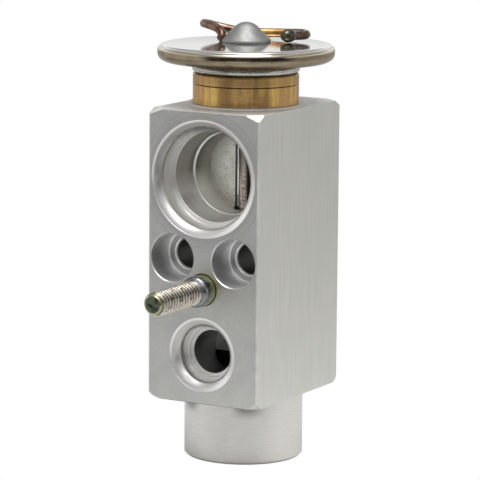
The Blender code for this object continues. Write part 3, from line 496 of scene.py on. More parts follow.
class Finish(Nodes):
    """A Principled material, with its place in millimetres."""

    def __init__(self, name, color, metallic, roughness):
        self.material = bpy.data.materials.new(name)
        super().__init__(emptied(self.material))
        values = {"Base Color": color, "Metallic": metallic, "Roughness": roughness}
        self.shader = self.add("BsdfPrincipled", values)
        self.add("OutputMaterial", {"Surface": self.shader.outputs["BSDF"]})
        place = self.add("TexCoord").outputs["Object"]
        self.place = self.vector("MULTIPLY", place, (1000.0, 1000.0, 1000.0))

    def effect(self, group, **values):
        """What a shared effect gives at the place."""
        return self.add("Group", {"Place": self.place, **values}, node_tree=group).outputs[0]

    def drawn(self, stretch, detail=4.0):
        """Drawn-out lines, close together where the stretch is large."""
        return self.effect(DRAWN, Stretch=stretch, Detail=detail)

    def rings(self, centre, fineness):
        """A lathe's rings round a front-to-back axis."""
        return self.effect(LATHE, Centre=centre, Fineness=fineness)

    def blotch(self, size, low, high):
        """A mask of soft patches, smaller where the size is larger."""
        return self.effect(BLOTCH, Size=size, From=low, To=high)

    def distance(self, centre, flat=(1.0, 1.0, 1.0)):
        """How far the place is from a centre, along the axes that aren't flattened."""
        offset = self.vector("SUBTRACT", self.place, centre)
        return self.vector("LENGTH", self.vector("MULTIPLY", offset, flat))

    def paint(self, color, *coats):
        """Gives the shader its colour, with coats over it."""
        self.feed(self.shader.inputs["Base Color"], self.coats(color, *coats))

    def bump(self, height, strength, distance=0.05):
        """Raises the height into the shader's normal, the distance in millimetres."""
        values = {"Strength": strength, "Distance": distance * MM, "Height": height}
        self.feed(self.shader.inputs["Normal"], self.add("Bump", values).outputs["Normal"])

    def textured(self, lines, low, high, strength, distance=0.05):
        """Lets lines vary the roughness between low and high, and raises them."""
        self.feed(self.shader.inputs["Roughness"], self.spread(lines, low, high))
        self.bump(lines, strength, distance)


print("shared effects:", [group.name for group in (DRAWN, LATHE, BLOTCH)])

# %% Aluminium by its machining
BIG_PORT = (0.0, 0.0, SUCTION_Z)
ACROSS = (1.0, 0.0, 1.0)
# Painted shade in the ports: its colour, and how strong it is by depth in the big and the small ports.
PORT_DARK = (0.15, 0.145, 0.13)
BIG_SHADE = [(0.0, 0.0), (0.006, 0.0), (0.016, 0.76), (0.075, 0.66), (0.105, 0.05), (0.27, 0.10),
             (0.295, 0.5), (0.50, 0.62), (0.61, 0.95), (0.622, 0.0), (0.640, 0.0), (0.655, 1.0),
             (0.80, 0.75), (1.0, 0.45)]
SMALL_SHADE = [(0.0, 0.0), (0.006, 0.0), (0.016, 0.48), (0.06, 0.42), (0.10, 0.05), (0.20, 0.10),
               (0.23, 0.3), (1.0, 0.4)]
# Painted light on the bolt seats: the bright rings at the floor's edges are painted highlights, the darker
# grey between and inside them is painted shade.
SEAT_LIGHT_AND_SHADE = [(0.0, 0.30), (0.10, 0.45), (0.135, 1.0), (0.22, 1.0), (0.25, 0.48), (0.67, 0.52),
              (0.705, 1.0), (0.80, 1.0), (0.835, 0.78), (1.0, 0.92)]


def dimmed(color, share):
    """A share of a colour."""
    return tuple(share * level for level in color)


def satin_aluminium(name, base, second, roughness, stretch, fine, strength, metallic=1.0, swirls=False):
    """Matt aluminium with drawn-out grain, and swirls round the big port where it is faced."""
    m = Finish(name, base, metallic, roughness)
    lines = m.drawn(stretch, fine)
    coats = [(m.blotch(0.09, 0.35, 0.7), second),
             (m.spread(lines, 0.0, 0.5, 0.35, 0.65), dimmed(base, 0.84))]
    if swirls:
        swirl = m.calc("MULTIPLY", m.mask(m.distance(BIG_PORT), 19.0, 17.0),
                       m.mask(m.rings(BIG_PORT, 2.4), 0.46, 0.60))
        coats.append((swirl, dimmed(base, 0.72)))
    m.paint(base, *coats)
    m.textured(lines, roughness - 0.05, roughness + 0.06, strength)
    return m.material


def port_shade(m, centre, reach, stops):
    """Mask of the shade in a port, by depth and on its left and upper side only."""
    x, y, z = m.axes(m.vector("SUBTRACT", m.place, centre))
    turn = m.calc("ARCTAN2", z, m.calc("MULTIPLY", x, -1.0))
    depth = m.calc("MINIMUM", y, m.calc("SUBTRACT", DEPTH, y))
    level = m.ramp(m.mask(depth, 0.0, 22.0), stops)
    level = m.calc("MULTIPLY", level, m.mask(turn, -0.45, 0.05))
    level = m.calc("MULTIPLY", level, m.mask(turn, 2.6, 1.8))
    top = m.calc("MULTIPLY", m.spread(depth, 0.0, 0.85, 2.2, 3.2), m.mask(z, 0.72 * reach, 0.98 * reach))
    return m.calc("MAXIMUM", level, top)


def bored_aluminium(name, centre, base, roughness, fineness, strength, shade=None, pair=False):
    """Bored aluminium with a lathe's rings round its axis, or round a pair of axes, and painted shade in a
    port where a shade is given.
    """
    m = Finish(name, base, 0.88, roughness)
    if pair:
        m.place = m.vector("ABSOLUTE", m.place)
    m.textured(m.rings(centre, fineness), roughness - 0.03, roughness + 0.04, strength, 0.03)
    if shade:
        # Painted shade on the port's left and upper side and on its deeper steps, where the walls keep the
        # light out.
        m.paint(base, (port_shade(m, centre, *shade), PORT_DARK))
    return m.material


def seat_aluminium():
    """The counterbores of the bolt holes, with painted highlights along the edges of their floors and
    painted shade between them and in the hole.
    """
    m = Finish("bolt_seat_aluminium", (0.8, 0.8, 0.78), 0.85, 0.32)
    m.place = m.vector("ABSOLUTE", m.place)
    m.paint(m.ramp(m.mask(m.distance((BOLT_X, 0.0, 0.0), ACROSS), 3.8, 6.8), SEAT_LIGHT_AND_SHADE))
    return m.material


def pitted_web():
    """The thin wall in the big port: matt grey-green, with painted shade towards its rim and small dark
    pits.
    """
    m = Finish("port_web_aluminium", (0.90, 0.92, 0.86), 0.1, 0.66)
    cells = m.add("TexVoronoi", {"Vector": m.place, "Scale": 2.2, "Randomness": 1.0})
    pits = m.calc("MULTIPLY", m.mask(cells.outputs["Distance"], 0.30, 0.16), m.blotch(0.9, 0.40, 0.50))
    # The coat that darkens towards the rim is painted shade, where the port's walls keep the light out.
    m.paint((0.93, 0.94, 0.88), (m.blotch(0.14, 0.35, 0.7), (0.80, 0.81, 0.74)),
            (m.mask(m.distance((0.0, AXIS_Y, SUCTION_Z)), 6.0, 10.6), (0.36, 0.35, 0.29)),
            (pits, (0.06, 0.055, 0.04)))
    return m.material


def turned_tail():
    """Brushed turned aluminium, in soft shade under the block's near corners."""
    m = Finish("turned_aluminium", (0.72, 0.71, 0.69), 1.0, 0.38)
    lines = m.drawn((0.35, 0.35, 7.0), 6.0)
    x, _, z = m.axes(m.place)
    apart = m.calc("ABSOLUTE", m.calc("SUBTRACT", m.calc("ABSOLUTE", x), 8.5))
    shade = m.calc("MULTIPLY", m.mask(z, -43.0, -38.6, "SMOOTHSTEP"), m.mask(apart, 4.5, 0.5, "SMOOTHSTEP"))
    m.paint((0.79, 0.775, 0.745), (m.mask(lines, 0.35, 0.65), (0.70, 0.68, 0.65)),
            (shade, (0.20, 0.185, 0.17)))
    m.textured(lines, 0.32, 0.46, 0.6)
    return m.material


# %% Aluminium finishes
faced = satin_aluminium("faced_aluminium", (0.665, 0.665, 0.64), (0.58, 0.585, 0.56), 0.40,
                        (1.2, 1.2, 1.2), 8.0, 0.22, swirls=True)
extruded = satin_aluminium("extruded_aluminium", (0.735, 0.73, 0.685), (0.70, 0.70, 0.65), 0.40,
                           (2.2, 2.2, 0.05), 5.0, 0.5)
milled = satin_aluminium("milled_aluminium", (0.72, 0.71, 0.68), (0.76, 0.75, 0.72), 0.46,
                         (2.0, 0.4, 2.0), 4.0, 0.12, 0.45)
tail_finish = turned_tail()
suction_bore = bored_aluminium("suction_bore_aluminium", BIG_PORT, (0.92, 0.91, 0.885), 0.30,
                               3.2, 0.04, (12.6, BIG_SHADE))
liquid_bore = bored_aluminium("liquid_bore_aluminium", (0.0, 0.0, INLET_Z), (0.88, 0.875, 0.85), 0.30,
                              3.2, 0.04, (7.3, SMALL_SHADE))
outlet_bore = bored_aluminium("outlet_bore_aluminium", (0.0, 0.0, OUTLET_Z), (0.70, 0.695, 0.67), 0.30,
                              3.2, 0.04)
bolt_seat = seat_aluminium()
# Deep holes take a dark grey: painted shade for the light that doesn't reach into them.
drilled = bored_aluminium("drilled_shaded_aluminium", (BOLT_X, 0.0, 0.0), (0.33, 0.33, 0.315), 0.34,
                          1.2, 0.1, pair=True)
worn_edge = satin_aluminium("edge_aluminium", (0.86, 0.86, 0.84), (0.66, 0.66, 0.64), 0.42,
                            (1.5, 1.5, 0.8), 8.0, 0.7, 0.9)
# Near black: painted shade inside the chamber, the stem slot and the hidden bores.
chamber_wall = bored_aluminium("chamber_shaded_aluminium", (0.0, 0.0, 0.0), (0.10, 0.10, 0.10), 0.42, 1.2, 0.2)
web = pitted_web()
print("aluminium finishes:", len(bpy.data.materials))

# %% [markdown]
# ### Which finish goes where
#
# Each face of the block is given the finish of the tool that cut it, told from where
# the face lies: sides from the extrusion, ends from the lathe, rims and bores from
# the boring bar. Deep holes and the chamber take dark finishes that are painted shade.

# %% Give the block's faces their finishes
BLOCK_SLOTS = [faced, extruded, milled, tail_finish, suction_bore, liquid_bore, outlet_bore,
               bolt_seat, drilled, chamber_wall, web, worn_edge]
(FACED, EXTRUDED, MILLED, TURNED, SUCTION, LIQUID, OUTLET,
 BOLT_SEAT, DRILLED, CHAMBER, WEB, EDGE) = range(len(BLOCK_SLOTS))
BIG_REACH, SMALL_REACH, SEAT_REACH = 15.5, 9.9, 6.7


def port_slot(x, y, z, normal):
    """Finish of a face inside one of the ports or bolt holes, or None."""
    front = y < AXIS_Y
    depth = y if front else DEPTH - y
    from_big = math.hypot(x, z - SUCTION_Z)
    from_small = math.hypot(x, z - (INLET_Z if front else OUTLET_Z))
    if from_big < BIG_REACH:
        if abs(normal.y) > 0.9 and depth > 20.0 and from_big < 10.5:
            return WEB
        if math.hypot(x, y - AXIS_Y) < 3.1 and from_big < 10.3:
            return CHAMBER
        return SUCTION if front or depth < 14.0 else DRILLED
    if from_small < SMALL_REACH:
        if from_small < 5.75 and depth > 5.7:
            return DRILLED
        return LIQUID if front else OUTLET
    if min(math.hypot(x - BOLT_X, z), math.hypot(x + BOLT_X, z)) < SEAT_REACH:
        return DRILLED if depth > 9.3 or not front else BOLT_SEAT
    return None


def block_slot(centre, normal):
    """Finish of a face of the block, told from where it lies and how it looks."""
    x, y, z = centre / MM
    middle = y - AXIS_Y
    if z < BLOCK_BOTTOM - 0.05:
        return TURNED if math.hypot(x, middle) > 14.0 else CHAMBER
    if 0.02 < HALF_WIDTH - abs(x) < 0.5 and min(y, DEPTH - y) < 0.5 and abs(normal.z) < 0.5:
        return EDGE
    if abs(abs(x) - HALF_WIDTH) < 0.75 and abs(normal.y) < 0.95 and abs(normal.z) < 0.9:
        return EXTRUDED
    if abs(y) < 0.02 or abs(y - DEPTH) < 0.02:
        return FACED
    found = port_slot(x, y, z, normal)
    if z > BLOCK_TOP - 0.4 or z < BLOCK_BOTTOM + 0.05 or found is None and math.hypot(x, middle) > 24.0:
        return MILLED
    return CHAMBER if found is None else found


for material in BLOCK_SLOTS:
    block.data.materials.append(material)
for face in block.data.polygons:
    face.material_index = block_slot(face.center, face.normal)
smooth(block, 28.0)
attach(block, "valve")
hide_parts("valve_body")
print("faces by finish:", np.bincount([face.material_index for face in block.data.polygons]).tolist())

# %% [markdown]
# ## The stud
#
# A rolled coarse thread on a plated steel stud. Real threads are rolled between dies,
# which leaves rounded crests. Here a fine grid is wrapped round the axis and its
# radius follows the helix, fading out at the collar and into the chamfered tip.

# %% Stud with its helical thread
PITCH = 1.33
TIP = 24.5
CREST_RADIUS = 3.175
THREAD_DEPTH = 0.80
THREAD_START = 4.7


def thread_radius(turn, length):
    """Radius of the thread at an angle and a length from the block's face."""
    phase = (length / PITCH - turn) % 1.0
    flank = abs(2.0 * phase - 1.0)
    crest = 1.0 - min(1.0, max(0.0, (flank - 0.14) / 0.76))
    start = min(1.0, max(0.0, (length - THREAD_START - 0.25) / 0.7))
    radius = CREST_RADIUS - THREAD_DEPTH * (1 - crest) * start
    limit = 2.1 + min(1.1, max(0.0, TIP - length))
    return min(radius, limit)


def wrapped(name, rows, around, radius_at):
    """A closed skin wrapped round +Z: rows of heights, radius given by turn and height."""
    verts = []
    for height in rows:
        for k in range(around):
            turn = k / around
            radius = radius_at(turn, height)
            angle = 2 * math.pi * turn
            verts.append((radius * math.cos(angle) * MM, radius * math.sin(angle) * MM, height * MM))
    faces = []
    for i in range(len(rows) - 1):
        for k in range(around):
            after = (k + 1) % around
            low, high = i * around, (i + 1) * around
            faces.append((low + k, low + after, high + after, high + k))
    faces.append(tuple(reversed(range(around))))
    top = (len(rows) - 1) * around
    faces.append(tuple(top + k for k in range(around)))
    mesh = bpy.data.meshes.new(name)
    mesh.from_pydata(verts, [], faces)
    mesh.validate()
    obj = bpy.data.objects.new(name, mesh)
    bpy.context.scene.collection.objects.link(obj)
    return obj


thread_rows = [THREAD_START + (TIP - THREAD_START) * i / 320 for i in range(321)]
stud = wrapped("stud_thread", thread_rows, 72, thread_radius)
stud.location = (0.0, 0.0, STUD_Z * MM)
stud.rotation_euler = (math.radians(90.0), 0.0, 0.0)
baked(stud)
collar_steps = [(0.0, 5.4), (2.7, 5.4), (3.0, 4.9), (4.05, 4.1), (4.1, 0.0), (4.15, -0.3), (0.0, -0.3)]
stud_collar = turned("stud_collar", rounded(collar_steps, [0, 0, 0.3, 1.5, 0.1, 0.05, 0]),
                     place=(0.0, 0.0, STUD_Z), pitch=90.0, steps=96)
report(stud)
report(stud_collar)

# %% [markdown]
# ## Power head
#
# Brass collar, brazed neck ring, two pressed stainless shells rolled together at the
# rim, and a soldered cone over the fill hole. The crown is a very low cone with a
# rounded shoulder, and the rim is one smooth roll. Neighbours that are brazed on the
# real part run on until they touch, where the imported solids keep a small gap.

# %% Collar and neck ring
COLLAR_RADIUS = 13.85
SCRIBED_Z = SPOT_Z + 5.8
collar_points = [(9.5, COLLAR_TOP + 0.1), (COLLAR_RADIUS - 0.3, COLLAR_TOP + 0.1),
                 (COLLAR_RADIUS, COLLAR_TOP - 0.25), (COLLAR_RADIUS, SCRIBED_Z + 0.15),
                 (COLLAR_RADIUS - 0.15, SCRIBED_Z), (COLLAR_RADIUS, SCRIBED_Z - 0.15),
                 (COLLAR_RADIUS, SPOT_Z + 0.75), (COLLAR_RADIUS - 0.45, SPOT_Z + 0.3), (9.7, SPOT_Z + 0.3),
                 (9.7, 34.9), (4.4, 34.9), (4.4, COLLAR_TOP - 4.6), (9.5, COLLAR_TOP - 4.6)]
collar_points = rounded(collar_points, [0, 0.12, 0.2, 0.05, 0, 0.05, 0.3, 0.1, 0, 0, 0, 0, 0])
collar = turned("collar", collar_points, closed=True, steps=192)

NECK_RADIUS = 14.1
neck_middle = (NECK_LOW + NECK_TOP) / 2 + 0.15
neck_points = [(9.5, NECK_TOP + 0.3)]
for i in range(17):
    turn = math.pi * i / 16
    neck_points.append((NECK_RADIUS - 0.9 * (1 - math.sin(turn)), neck_middle + math.cos(turn)))
neck_points.append((9.5, NECK_LOW - 0.15))
neck = turned("neck", neck_points, closed=True, steps=160)
report(collar)
report(neck)

# %% Pressed shells
HEAD = 23.1
SEAM_Z = RIM_LOW + 0.3
ROLL_Z = 52.55
UNDER_Z = 51.75
UNDER_ROLL = 1.94
LIP_LOW = 50.0
LIP_START = 58.0


def rim_radius(height):
    """Outer radius of the rolled rim: a tight roll, a short wall and a wider roll under it."""
    if height > ROLL_Z:
        return HEAD - 1.0 + math.sqrt(1.0 - (height - ROLL_Z) ** 2)
    if height > UNDER_Z:
        return HEAD
    return HEAD - UNDER_ROLL + math.sqrt(UNDER_ROLL ** 2 - (UNDER_Z - height) ** 2)


lower_profile = [(9.5, SHELL_LOW + 1.0), (18.2, SHELL_LOW + 1.6), (20.4, SHELL_TOP), (21.5, SHELL_TOP)]
lower_profile += [(21.5, SEAM_Z), (rim_radius(SEAM_Z), SEAM_Z)]
lower_breaks = [0, 1.0, 0.6, 0.1, 0, 0]
for i in range(1, 13):
    height = SEAM_Z - (SEAM_Z - LIP_LOW) * i / 12
    lower_profile.append((rim_radius(height), height))
    lower_breaks.append(0)
for i in range(1, 9):
    turn = math.radians(LIP_START + (90.0 - LIP_START) * i / 8)
    inward = 1.6 * (math.sin(turn) - math.sin(math.radians(LIP_START))) + 0.5 * i / 8
    lower_profile.append((rim_radius(LIP_LOW) - inward, LIP_LOW - 0.35 * (i / 8) ** 0.6))
    lower_breaks.append(0)
lower_profile += [(20.2, SHELL_LOW + 0.8), (14.8, SHELL_LOW + 0.25), (13.8, SHELL_LOW - 0.1),
                  (9.5, SHELL_LOW - 0.1)]
lower_breaks += [1.5, 1.0, 0.2, 0]
lower = turned("lower_head", rounded(lower_profile, lower_breaks, 6), closed=True, steps=192)


def crown(radius):
    """Height of the upper shell's outer face: a very low cone with a rounded shoulder."""
    slope = CROWN_Z - 0.5 * max(0.0, radius - 5.0) / 16.4
    past = max(0.0, radius - 21.1) / 1.2
    return slope - 0.55 * (1 - math.sqrt(max(0.0, 1 - past ** 2)))


crown_radii = [1.6 + 19.4 * i / 30 for i in range(31)] + [21.1 + 1.2 * i / 12 for i in range(13)]
upper_profile = [(radius, crown(radius)) for radius in crown_radii]
upper_profile += [(22.3, 53.44)]
for i in range(25):
    height = ROLL_Z + math.sin(math.radians(70.0 - 70.0 * i / 24))
    upper_profile.append((rim_radius(height), height))
upper_profile += [(HEAD, UNDER_Z), (rim_radius(SEAM_Z), SEAM_Z), (21.8, SEAM_Z), (21.8, SHELL_TOP),
                  (21.8, RIM_LOW + 1.3), (20.4, RIM_LOW + 1.3)]
upper_profile += [(radius, crown(radius) - 1.0) for radius in (18.0, 12.0, 6.0, 1.6)]
upper = turned("upper_head", upper_profile, closed=True, steps=256)
report(lower)
report(upper)

# %% [markdown]
# ### Charge cap and tube
#
# The cap is a soldered cone, so its skin is a little uneven. The capillary tube that
# was used to charge the head leaves it in a tight bend, runs behind the cone and
# ends in a pinched and soldered tip.

# %% Charge cap
CAP_APEX = CAP_TOP - 0.12
CAP_START = CAP_LOW - 0.25
CAP_NOSE = 4.4
CAP_CURVE = [(CAP_NOSE * math.sin(math.radians(a)), CAP_NOSE * (1 - math.cos(math.radians(a))))
             for a in range(0, 46, 3)]
CAP_CURVE += [(6.3, 4.48), (6.4, 4.65), (6.4, 5.2)]


def cap_radius(height):
    """Radius of the soldered cone at a height, read off its outline from the apex down."""
    drop = CAP_APEX - height
    return float(np.interp(drop, [b for _, b in CAP_CURVE], [a for a, _ in CAP_CURVE]))


def cap_skin(turn, height):
    """The cone's radius with the unevenness of solder."""
    spot = Vector((math.cos(2 * math.pi * turn), math.sin(2 * math.pi * turn), height * 0.5))
    lump = perlin.noise(spot * 1.7) * 0.05 * min(1.0, (CAP_APEX - height) / 0.8)
    return min(6.44, max(0.02, cap_radius(max(height, CAP_LOW)) + lump))


cap_reach = CAP_APEX - 0.001 - CAP_START
cap_rows = [CAP_START + cap_reach * (1 - (1 - i / 60) ** 2) for i in range(61)]
cap = wrapped("cap", cap_rows, 96, cap_skin)
cap.location = (0.0, AXIS_Y * MM, 0.0)
baked(cap)
report(cap)

# %% Charge tube
TUBE_RADIUS = 1.15
PINCH_LENGTH = 3.6
TUBE_ROUTE = [(-5.7, -3.3, -0.35), (-5.8, -2.7, 0.1), (-6.37, -2.0, 1.05), (-7.96, -1.2, 1.97),
              (-10.18, -0.4, 2.49), (-12.38, 0.6, 2.75), (-13.8, 1.9, 2.75), (-13.56, 3.8, 2.42),
              (-10.55, 5.9, 1.5), (-5.99, 7.8, 0.59), (-1.0, 9.6, 0.41), (4.0, 11.1, 0.46),
              (8.4, 12.0, 0.55), (10.5, 12.1, 0.53), (11.7, 11.0, 0.46), (11.85, 9.7, 0.39),
              (11.16, 8.4, 0.38), (10.47, 6.5, 0.46)]


def smooth_line(points, per_span):
    """A Catmull-Rom curve through the points."""
    line = []
    last = len(points) - 1
    for i in range(last):
        before, start = points[max(i - 1, 0)], points[i]
        end, after = points[i + 1], points[min(i + 2, last)]
        for j in range(per_span):
            t = j / per_span
            line.append(0.5 * (2 * start + (end - before) * t
                               + (2 * before - 5 * start + 4 * end - after) * t ** 2
                               + (3 * start - before - 3 * end + after) * t ** 3))
    line.append(points[last])
    return line


def swept(name, line, radii, around=32):
    """A round bar along a line, with its frame carried along it without twist."""
    shape = bmesh.new()
    side = Vector((0.0, 0.0, 1.0))
    rings = []
    for i, (point, radius) in enumerate(zip(line, radii)):
        ahead = (line[min(i + 1, len(line) - 1)] - line[max(i - 1, 0)]).normalized()
        side = (side - ahead * side.dot(ahead)).normalized()
        other = ahead.cross(side)
        ring = []
        for k in range(around):
            angle = 2 * math.pi * k / around
            ring.append(shape.verts.new((point + side * radius * math.cos(angle)
                                         + other * radius * math.sin(angle)) * MM))
        rings.append(ring)
    for first, second in zip(rings, rings[1:]):
        for k in range(around):
            after = (k + 1) % around
            shape.faces.new((first[k], first[after], second[after], second[k]))
    shape.faces.new(tuple(reversed(rings[0])))
    shape.faces.new(tuple(rings[-1]))
    return linked_mesh(name, shape)


tube_points = [Vector((x, AXIS_Y + y, CROWN_Z + TUBE_RADIUS + z)) for x, y, z in TUBE_ROUTE]
tube_line = smooth_line(tube_points, 10)
heading = (tube_line[-1] - tube_line[-2]).normalized()
tube_radii = [TUBE_RADIUS] * len(tube_line)
for i in range(1, 17):
    share = i / 16
    tube_line.append(tube_line[-1] + heading * PINCH_LENGTH / 16)
    swell = math.sin(math.pi / 2 * min(1.0, share * 2.2))
    tube_radii.append(TUBE_RADIUS + 0.55 * swell - 0.5 * max(0.0, share - 0.55) ** 2 / 0.2)
tube = swept("tube", tube_line, tube_radii)
report(tube)

# %% [markdown]
# ### Sensing rod
#
# The rod that carries the head's movement down to the ball crosses the suction
# passage, where the returning gas flows round it. It shows in the slot of the big port.

# %% Sensing rod
ROD_RADIUS, ROD_SOCKET = 1.76, 1.45
rod_low, rod_high = low_high("sensing_rod")
rod_points = [(0.0, rod_high), (1.5, rod_high), (ROD_RADIUS, rod_high - 0.25), (ROD_RADIUS, rod_low),
              (ROD_SOCKET, rod_low), (ROD_SOCKET, rod_low + 2.6), (0.0, rod_low + 2.6)]
rod = turned("rod", rod_points, steps=64)
report(rod)

# %% [markdown]
# ### Brass, plating, stainless, copper and rubber
#
# Thin films colour these metals. The stud's zinc has a yellow passivate that shifts
# between green, gold and pink with its thickness, brazing heat has tinted the head
# gold near its rim, and the copper tube is browned, most of all towards its ends.

# %% Metals of the head and stud
FILM_HUES = [(0.30, (0.50, 0.50, 0.32)), (0.38, (0.82, 0.68, 0.38)), (0.46, (0.84, 0.81, 0.74)),
             (0.56, (0.76, 0.64, 0.56)), (0.70, (0.56, 0.58, 0.60))]
TUBE_HUES = [(0.0, (0.20, 0.13, 0.11)), (0.10, (0.36, 0.24, 0.20)), (0.22, (0.30, 0.19, 0.15)),
             (0.36, (0.22, 0.13, 0.09)), (0.52, (0.62, 0.34, 0.13)), (0.74, (0.50, 0.28, 0.12)),
             (0.82, (0.17, 0.13, 0.10)), (1.0, (0.22, 0.16, 0.14))]
SIDE = (0.868, 0.497, 0.0)


def plated_zinc():
    """Zinc with a yellow passivate, with painted shade in the thread's grooves, mottled on the cut end."""
    m = Finish("yellow_zinc", (0.5, 0.48, 0.4), 1.0, 0.24)
    film = m.noise({"Vector": m.place, "Scale": 0.42, "Detail": 3.0, "Roughness": 0.55, "Distortion": 0.6})
    y = m.axes(m.place)[1]
    low = m.mask(m.distance((0.0, 0.0, STUD_Z), ACROSS), 3.14, 2.66)
    # Painted shade in the thread's grooves.
    groove_shade = m.calc("MULTIPLY", low, m.mask(y, -5.0, -5.5))
    collar_hue = m.mix(m.mask(y, -3.2, -0.6), (0.27, 0.285, 0.29), (0.44, 0.43, 0.18))
    cut_end = m.mix(m.mask(film, 0.42, 0.55), (0.045, 0.055, 0.04), (0.19, 0.215, 0.16))
    m.paint(m.ramp(film, FILM_HUES), (m.mask(y, -5.5, -5.1), collar_hue),
            (m.blotch(0.8, 0.55, 0.68), (0.13, 0.115, 0.085)), (groove_shade, (0.09, 0.08, 0.06)),
            (m.mask(y, -23.6, -23.9), (0.44, 0.45, 0.27)), (m.mask(y, -24.35, -24.45), cut_end))
    m.textured(m.drawn((3.0, 3.0, 3.0)), 0.12, 0.28, 0.3)
    return m.material


def tarnished(name, bright, dark, roughness, stretch, size, low, high, strength=0.12):
    """Metal with drawn-out grain and darker stain in soft patches."""
    m = Finish(name, bright, 1.0, roughness)
    m.paint(bright, (m.blotch(size, low, high), dark))
    m.textured(m.drawn(stretch), roughness - 0.06, roughness + 0.1, strength)
    return m.material


def stained_brass():
    """Turned brass, browned in patches and in upright streaks that partly stand for painted reflection
    bands, darker above its scribed line, with painted shade in that line and brighter at its lower edge.
    """
    m = Finish("collar_brass", (0.50, 0.34, 0.15), 1.0, 0.30)
    z = m.axes(m.place)[2]
    upright = m.vector("MULTIPLY", m.place, (1.0, 1.0, 0.10))
    # Upright streaks: partly browning, partly painted reflection bands of the room.
    streaks = m.effect(BLOTCH, Place=upright, Size=0.55, From=0.36, To=0.62)
    above = m.spread(z, 0.0, 0.6, SCRIBED_Z - 0.6, SCRIBED_Z + 0.8)
    # Painted shade in the scribed groove.
    line = m.mask(m.calc("ABSOLUTE", m.calc("SUBTRACT", z, SCRIBED_Z)), 0.20, 0.08)
    m.paint((0.94, 0.65, 0.17), (m.blotch(0.12, 0.38, 0.62), (0.72, 0.44, 0.18)),
            (streaks, (0.54, 0.32, 0.13)), (above, (0.46, 0.285, 0.13)), (line, (0.22, 0.12, 0.05)),
            (m.mask(z, SPOT_Z + 1.2, SPOT_Z + 0.4), (0.88, 0.64, 0.28)))
    m.textured(m.drawn((0.3, 0.3, 5.0)), 0.22, 0.38, 0.08)
    return m.material


def head_steel_finish():
    """Bright pressed stainless, tinted gold by heat where the rim was rolled and welded, and darker towards
    the roll's lower edge.
    """
    m = Finish("head_steel", (0.72, 0.72, 0.70), 1.0, 0.10)
    z = m.axes(m.place)[2]
    gold = m.coats((0.44, 0.365, 0.25), (m.blotch(0.2, 0.3, 0.75), (0.31, 0.25, 0.165)),
                   (m.mask(z, 51.3, 50.4), (0.20, 0.155, 0.115)))
    m.paint((0.66, 0.60, 0.49), (m.mask(z, 53.2, 52.6), gold),
            (m.mask(z, 53.50, 53.56), (0.74, 0.74, 0.72)))
    m.textured(m.drawn((0.3, 0.3, 3.0)), 0.07, 0.15, 0.03)
    return m.material


def speckled_rod():
    """Grey rod, pinkish with brown speckle on its lower part, with painted shade on its right side."""
    m = Finish("rod_metal", (0.45, 0.44, 0.40), 1.0, 0.28)
    specks = m.blotch(2.4, 0.50, 0.60)
    low = m.mask(m.axes(m.place)[2], SUCTION_Z + 4.0, SUCTION_Z - 2.0)
    # Painted shade: the rod's right side is darkened in the colour.
    axis = SIDE[1] * AXIS_Y
    shaded = m.mask(m.vector("DOT_PRODUCT", m.place, SIDE), axis - 0.3, axis + 0.6)
    m.paint((0.30, 0.29, 0.26), (low, (0.82, 0.70, 0.64)),
            (m.calc("MULTIPLY", specks, low), (0.34, 0.22, 0.17)), (shaded, (0.05, 0.045, 0.04)))
    m.bump(specks, 0.2)
    return m.material


def aged_copper():
    """Oxidised copper, brown at its ends and in patches, still orange along the straight run."""
    m = Finish("oxidised_copper", (0.30, 0.15, 0.09), 1.0, 0.30)
    x, y, _ = m.axes(m.place)
    tip = m.calc("MULTIPLY", m.mask(y, AXIS_Y + 6.8, AXIS_Y + 6.2), m.mask(x, 7.0, 8.0))
    hue = m.mix(tip, m.ramp(m.mask(x, -15.0, 13.0), TUBE_HUES), (0.12, 0.11, 0.08))
    shade = m.mix(m.blotch(0.35, 0.42, 0.62), (1.0, 1.0, 1.0), (0.5, 0.46, 0.42))
    m.paint(m.mix(1.0, hue, shade, "MULTIPLY"))
    m.bump(m.drawn((0.8, 0.8, 0.8)), 0.15)
    return m.material


def rubber_material():
    """Matt black seal rubber with a faint bloom."""
    m = Finish("seal_rubber", (0.02, 0.02, 0.02), 0.0, 0.6)
    m.paint((0.018, 0.018, 0.018), (m.blotch(0.8, 0.4, 0.8), (0.05, 0.05, 0.048)))
    return m.material


# %% Finishes of the other metals and the rubber
zinc = plated_zinc()
brass = stained_brass()
steel = head_steel_finish()
rod_metal = speckled_rod()
inner_brass = tarnished("inner_brass", (0.60, 0.44, 0.20), (0.45, 0.31, 0.14), 0.34,
                        (0.2, 0.2, 4.0), 0.3, 0.45, 0.75)
neck_steel = tarnished("neck_steel", (0.60, 0.61, 0.57), (0.46, 0.46, 0.42), 0.26,
                       (0.4, 0.4, 3.0), 0.3, 0.4, 0.7, 0.05)
satin_steel = tarnished("satin_steel", (0.66, 0.67, 0.65), (0.55, 0.55, 0.52), 0.34,
                        (2.0, 2.0, 2.0), 0.4, 0.45, 0.75)
solder = tarnished("solder", (0.305, 0.305, 0.295), (0.255, 0.26, 0.25), 0.55,
                   (0.8, 0.8, 0.8), 0.35, 0.45, 0.75, 0.2)
copper = aged_copper()
spring_steel = tarnished("spring_steel", (0.50, 0.50, 0.49), (0.36, 0.34, 0.32), 0.32,
                         (1.0, 1.0, 1.0), 0.5, 0.45, 0.7)
rubber = rubber_material()
print("finishes in all:", len(bpy.data.materials))

# %% [markdown]
# ## Dressing the pieces
#
# Every fine piece takes its finish and rides on the body of the node it stands for.
# The imported nodes that stay as they are take a finish too.

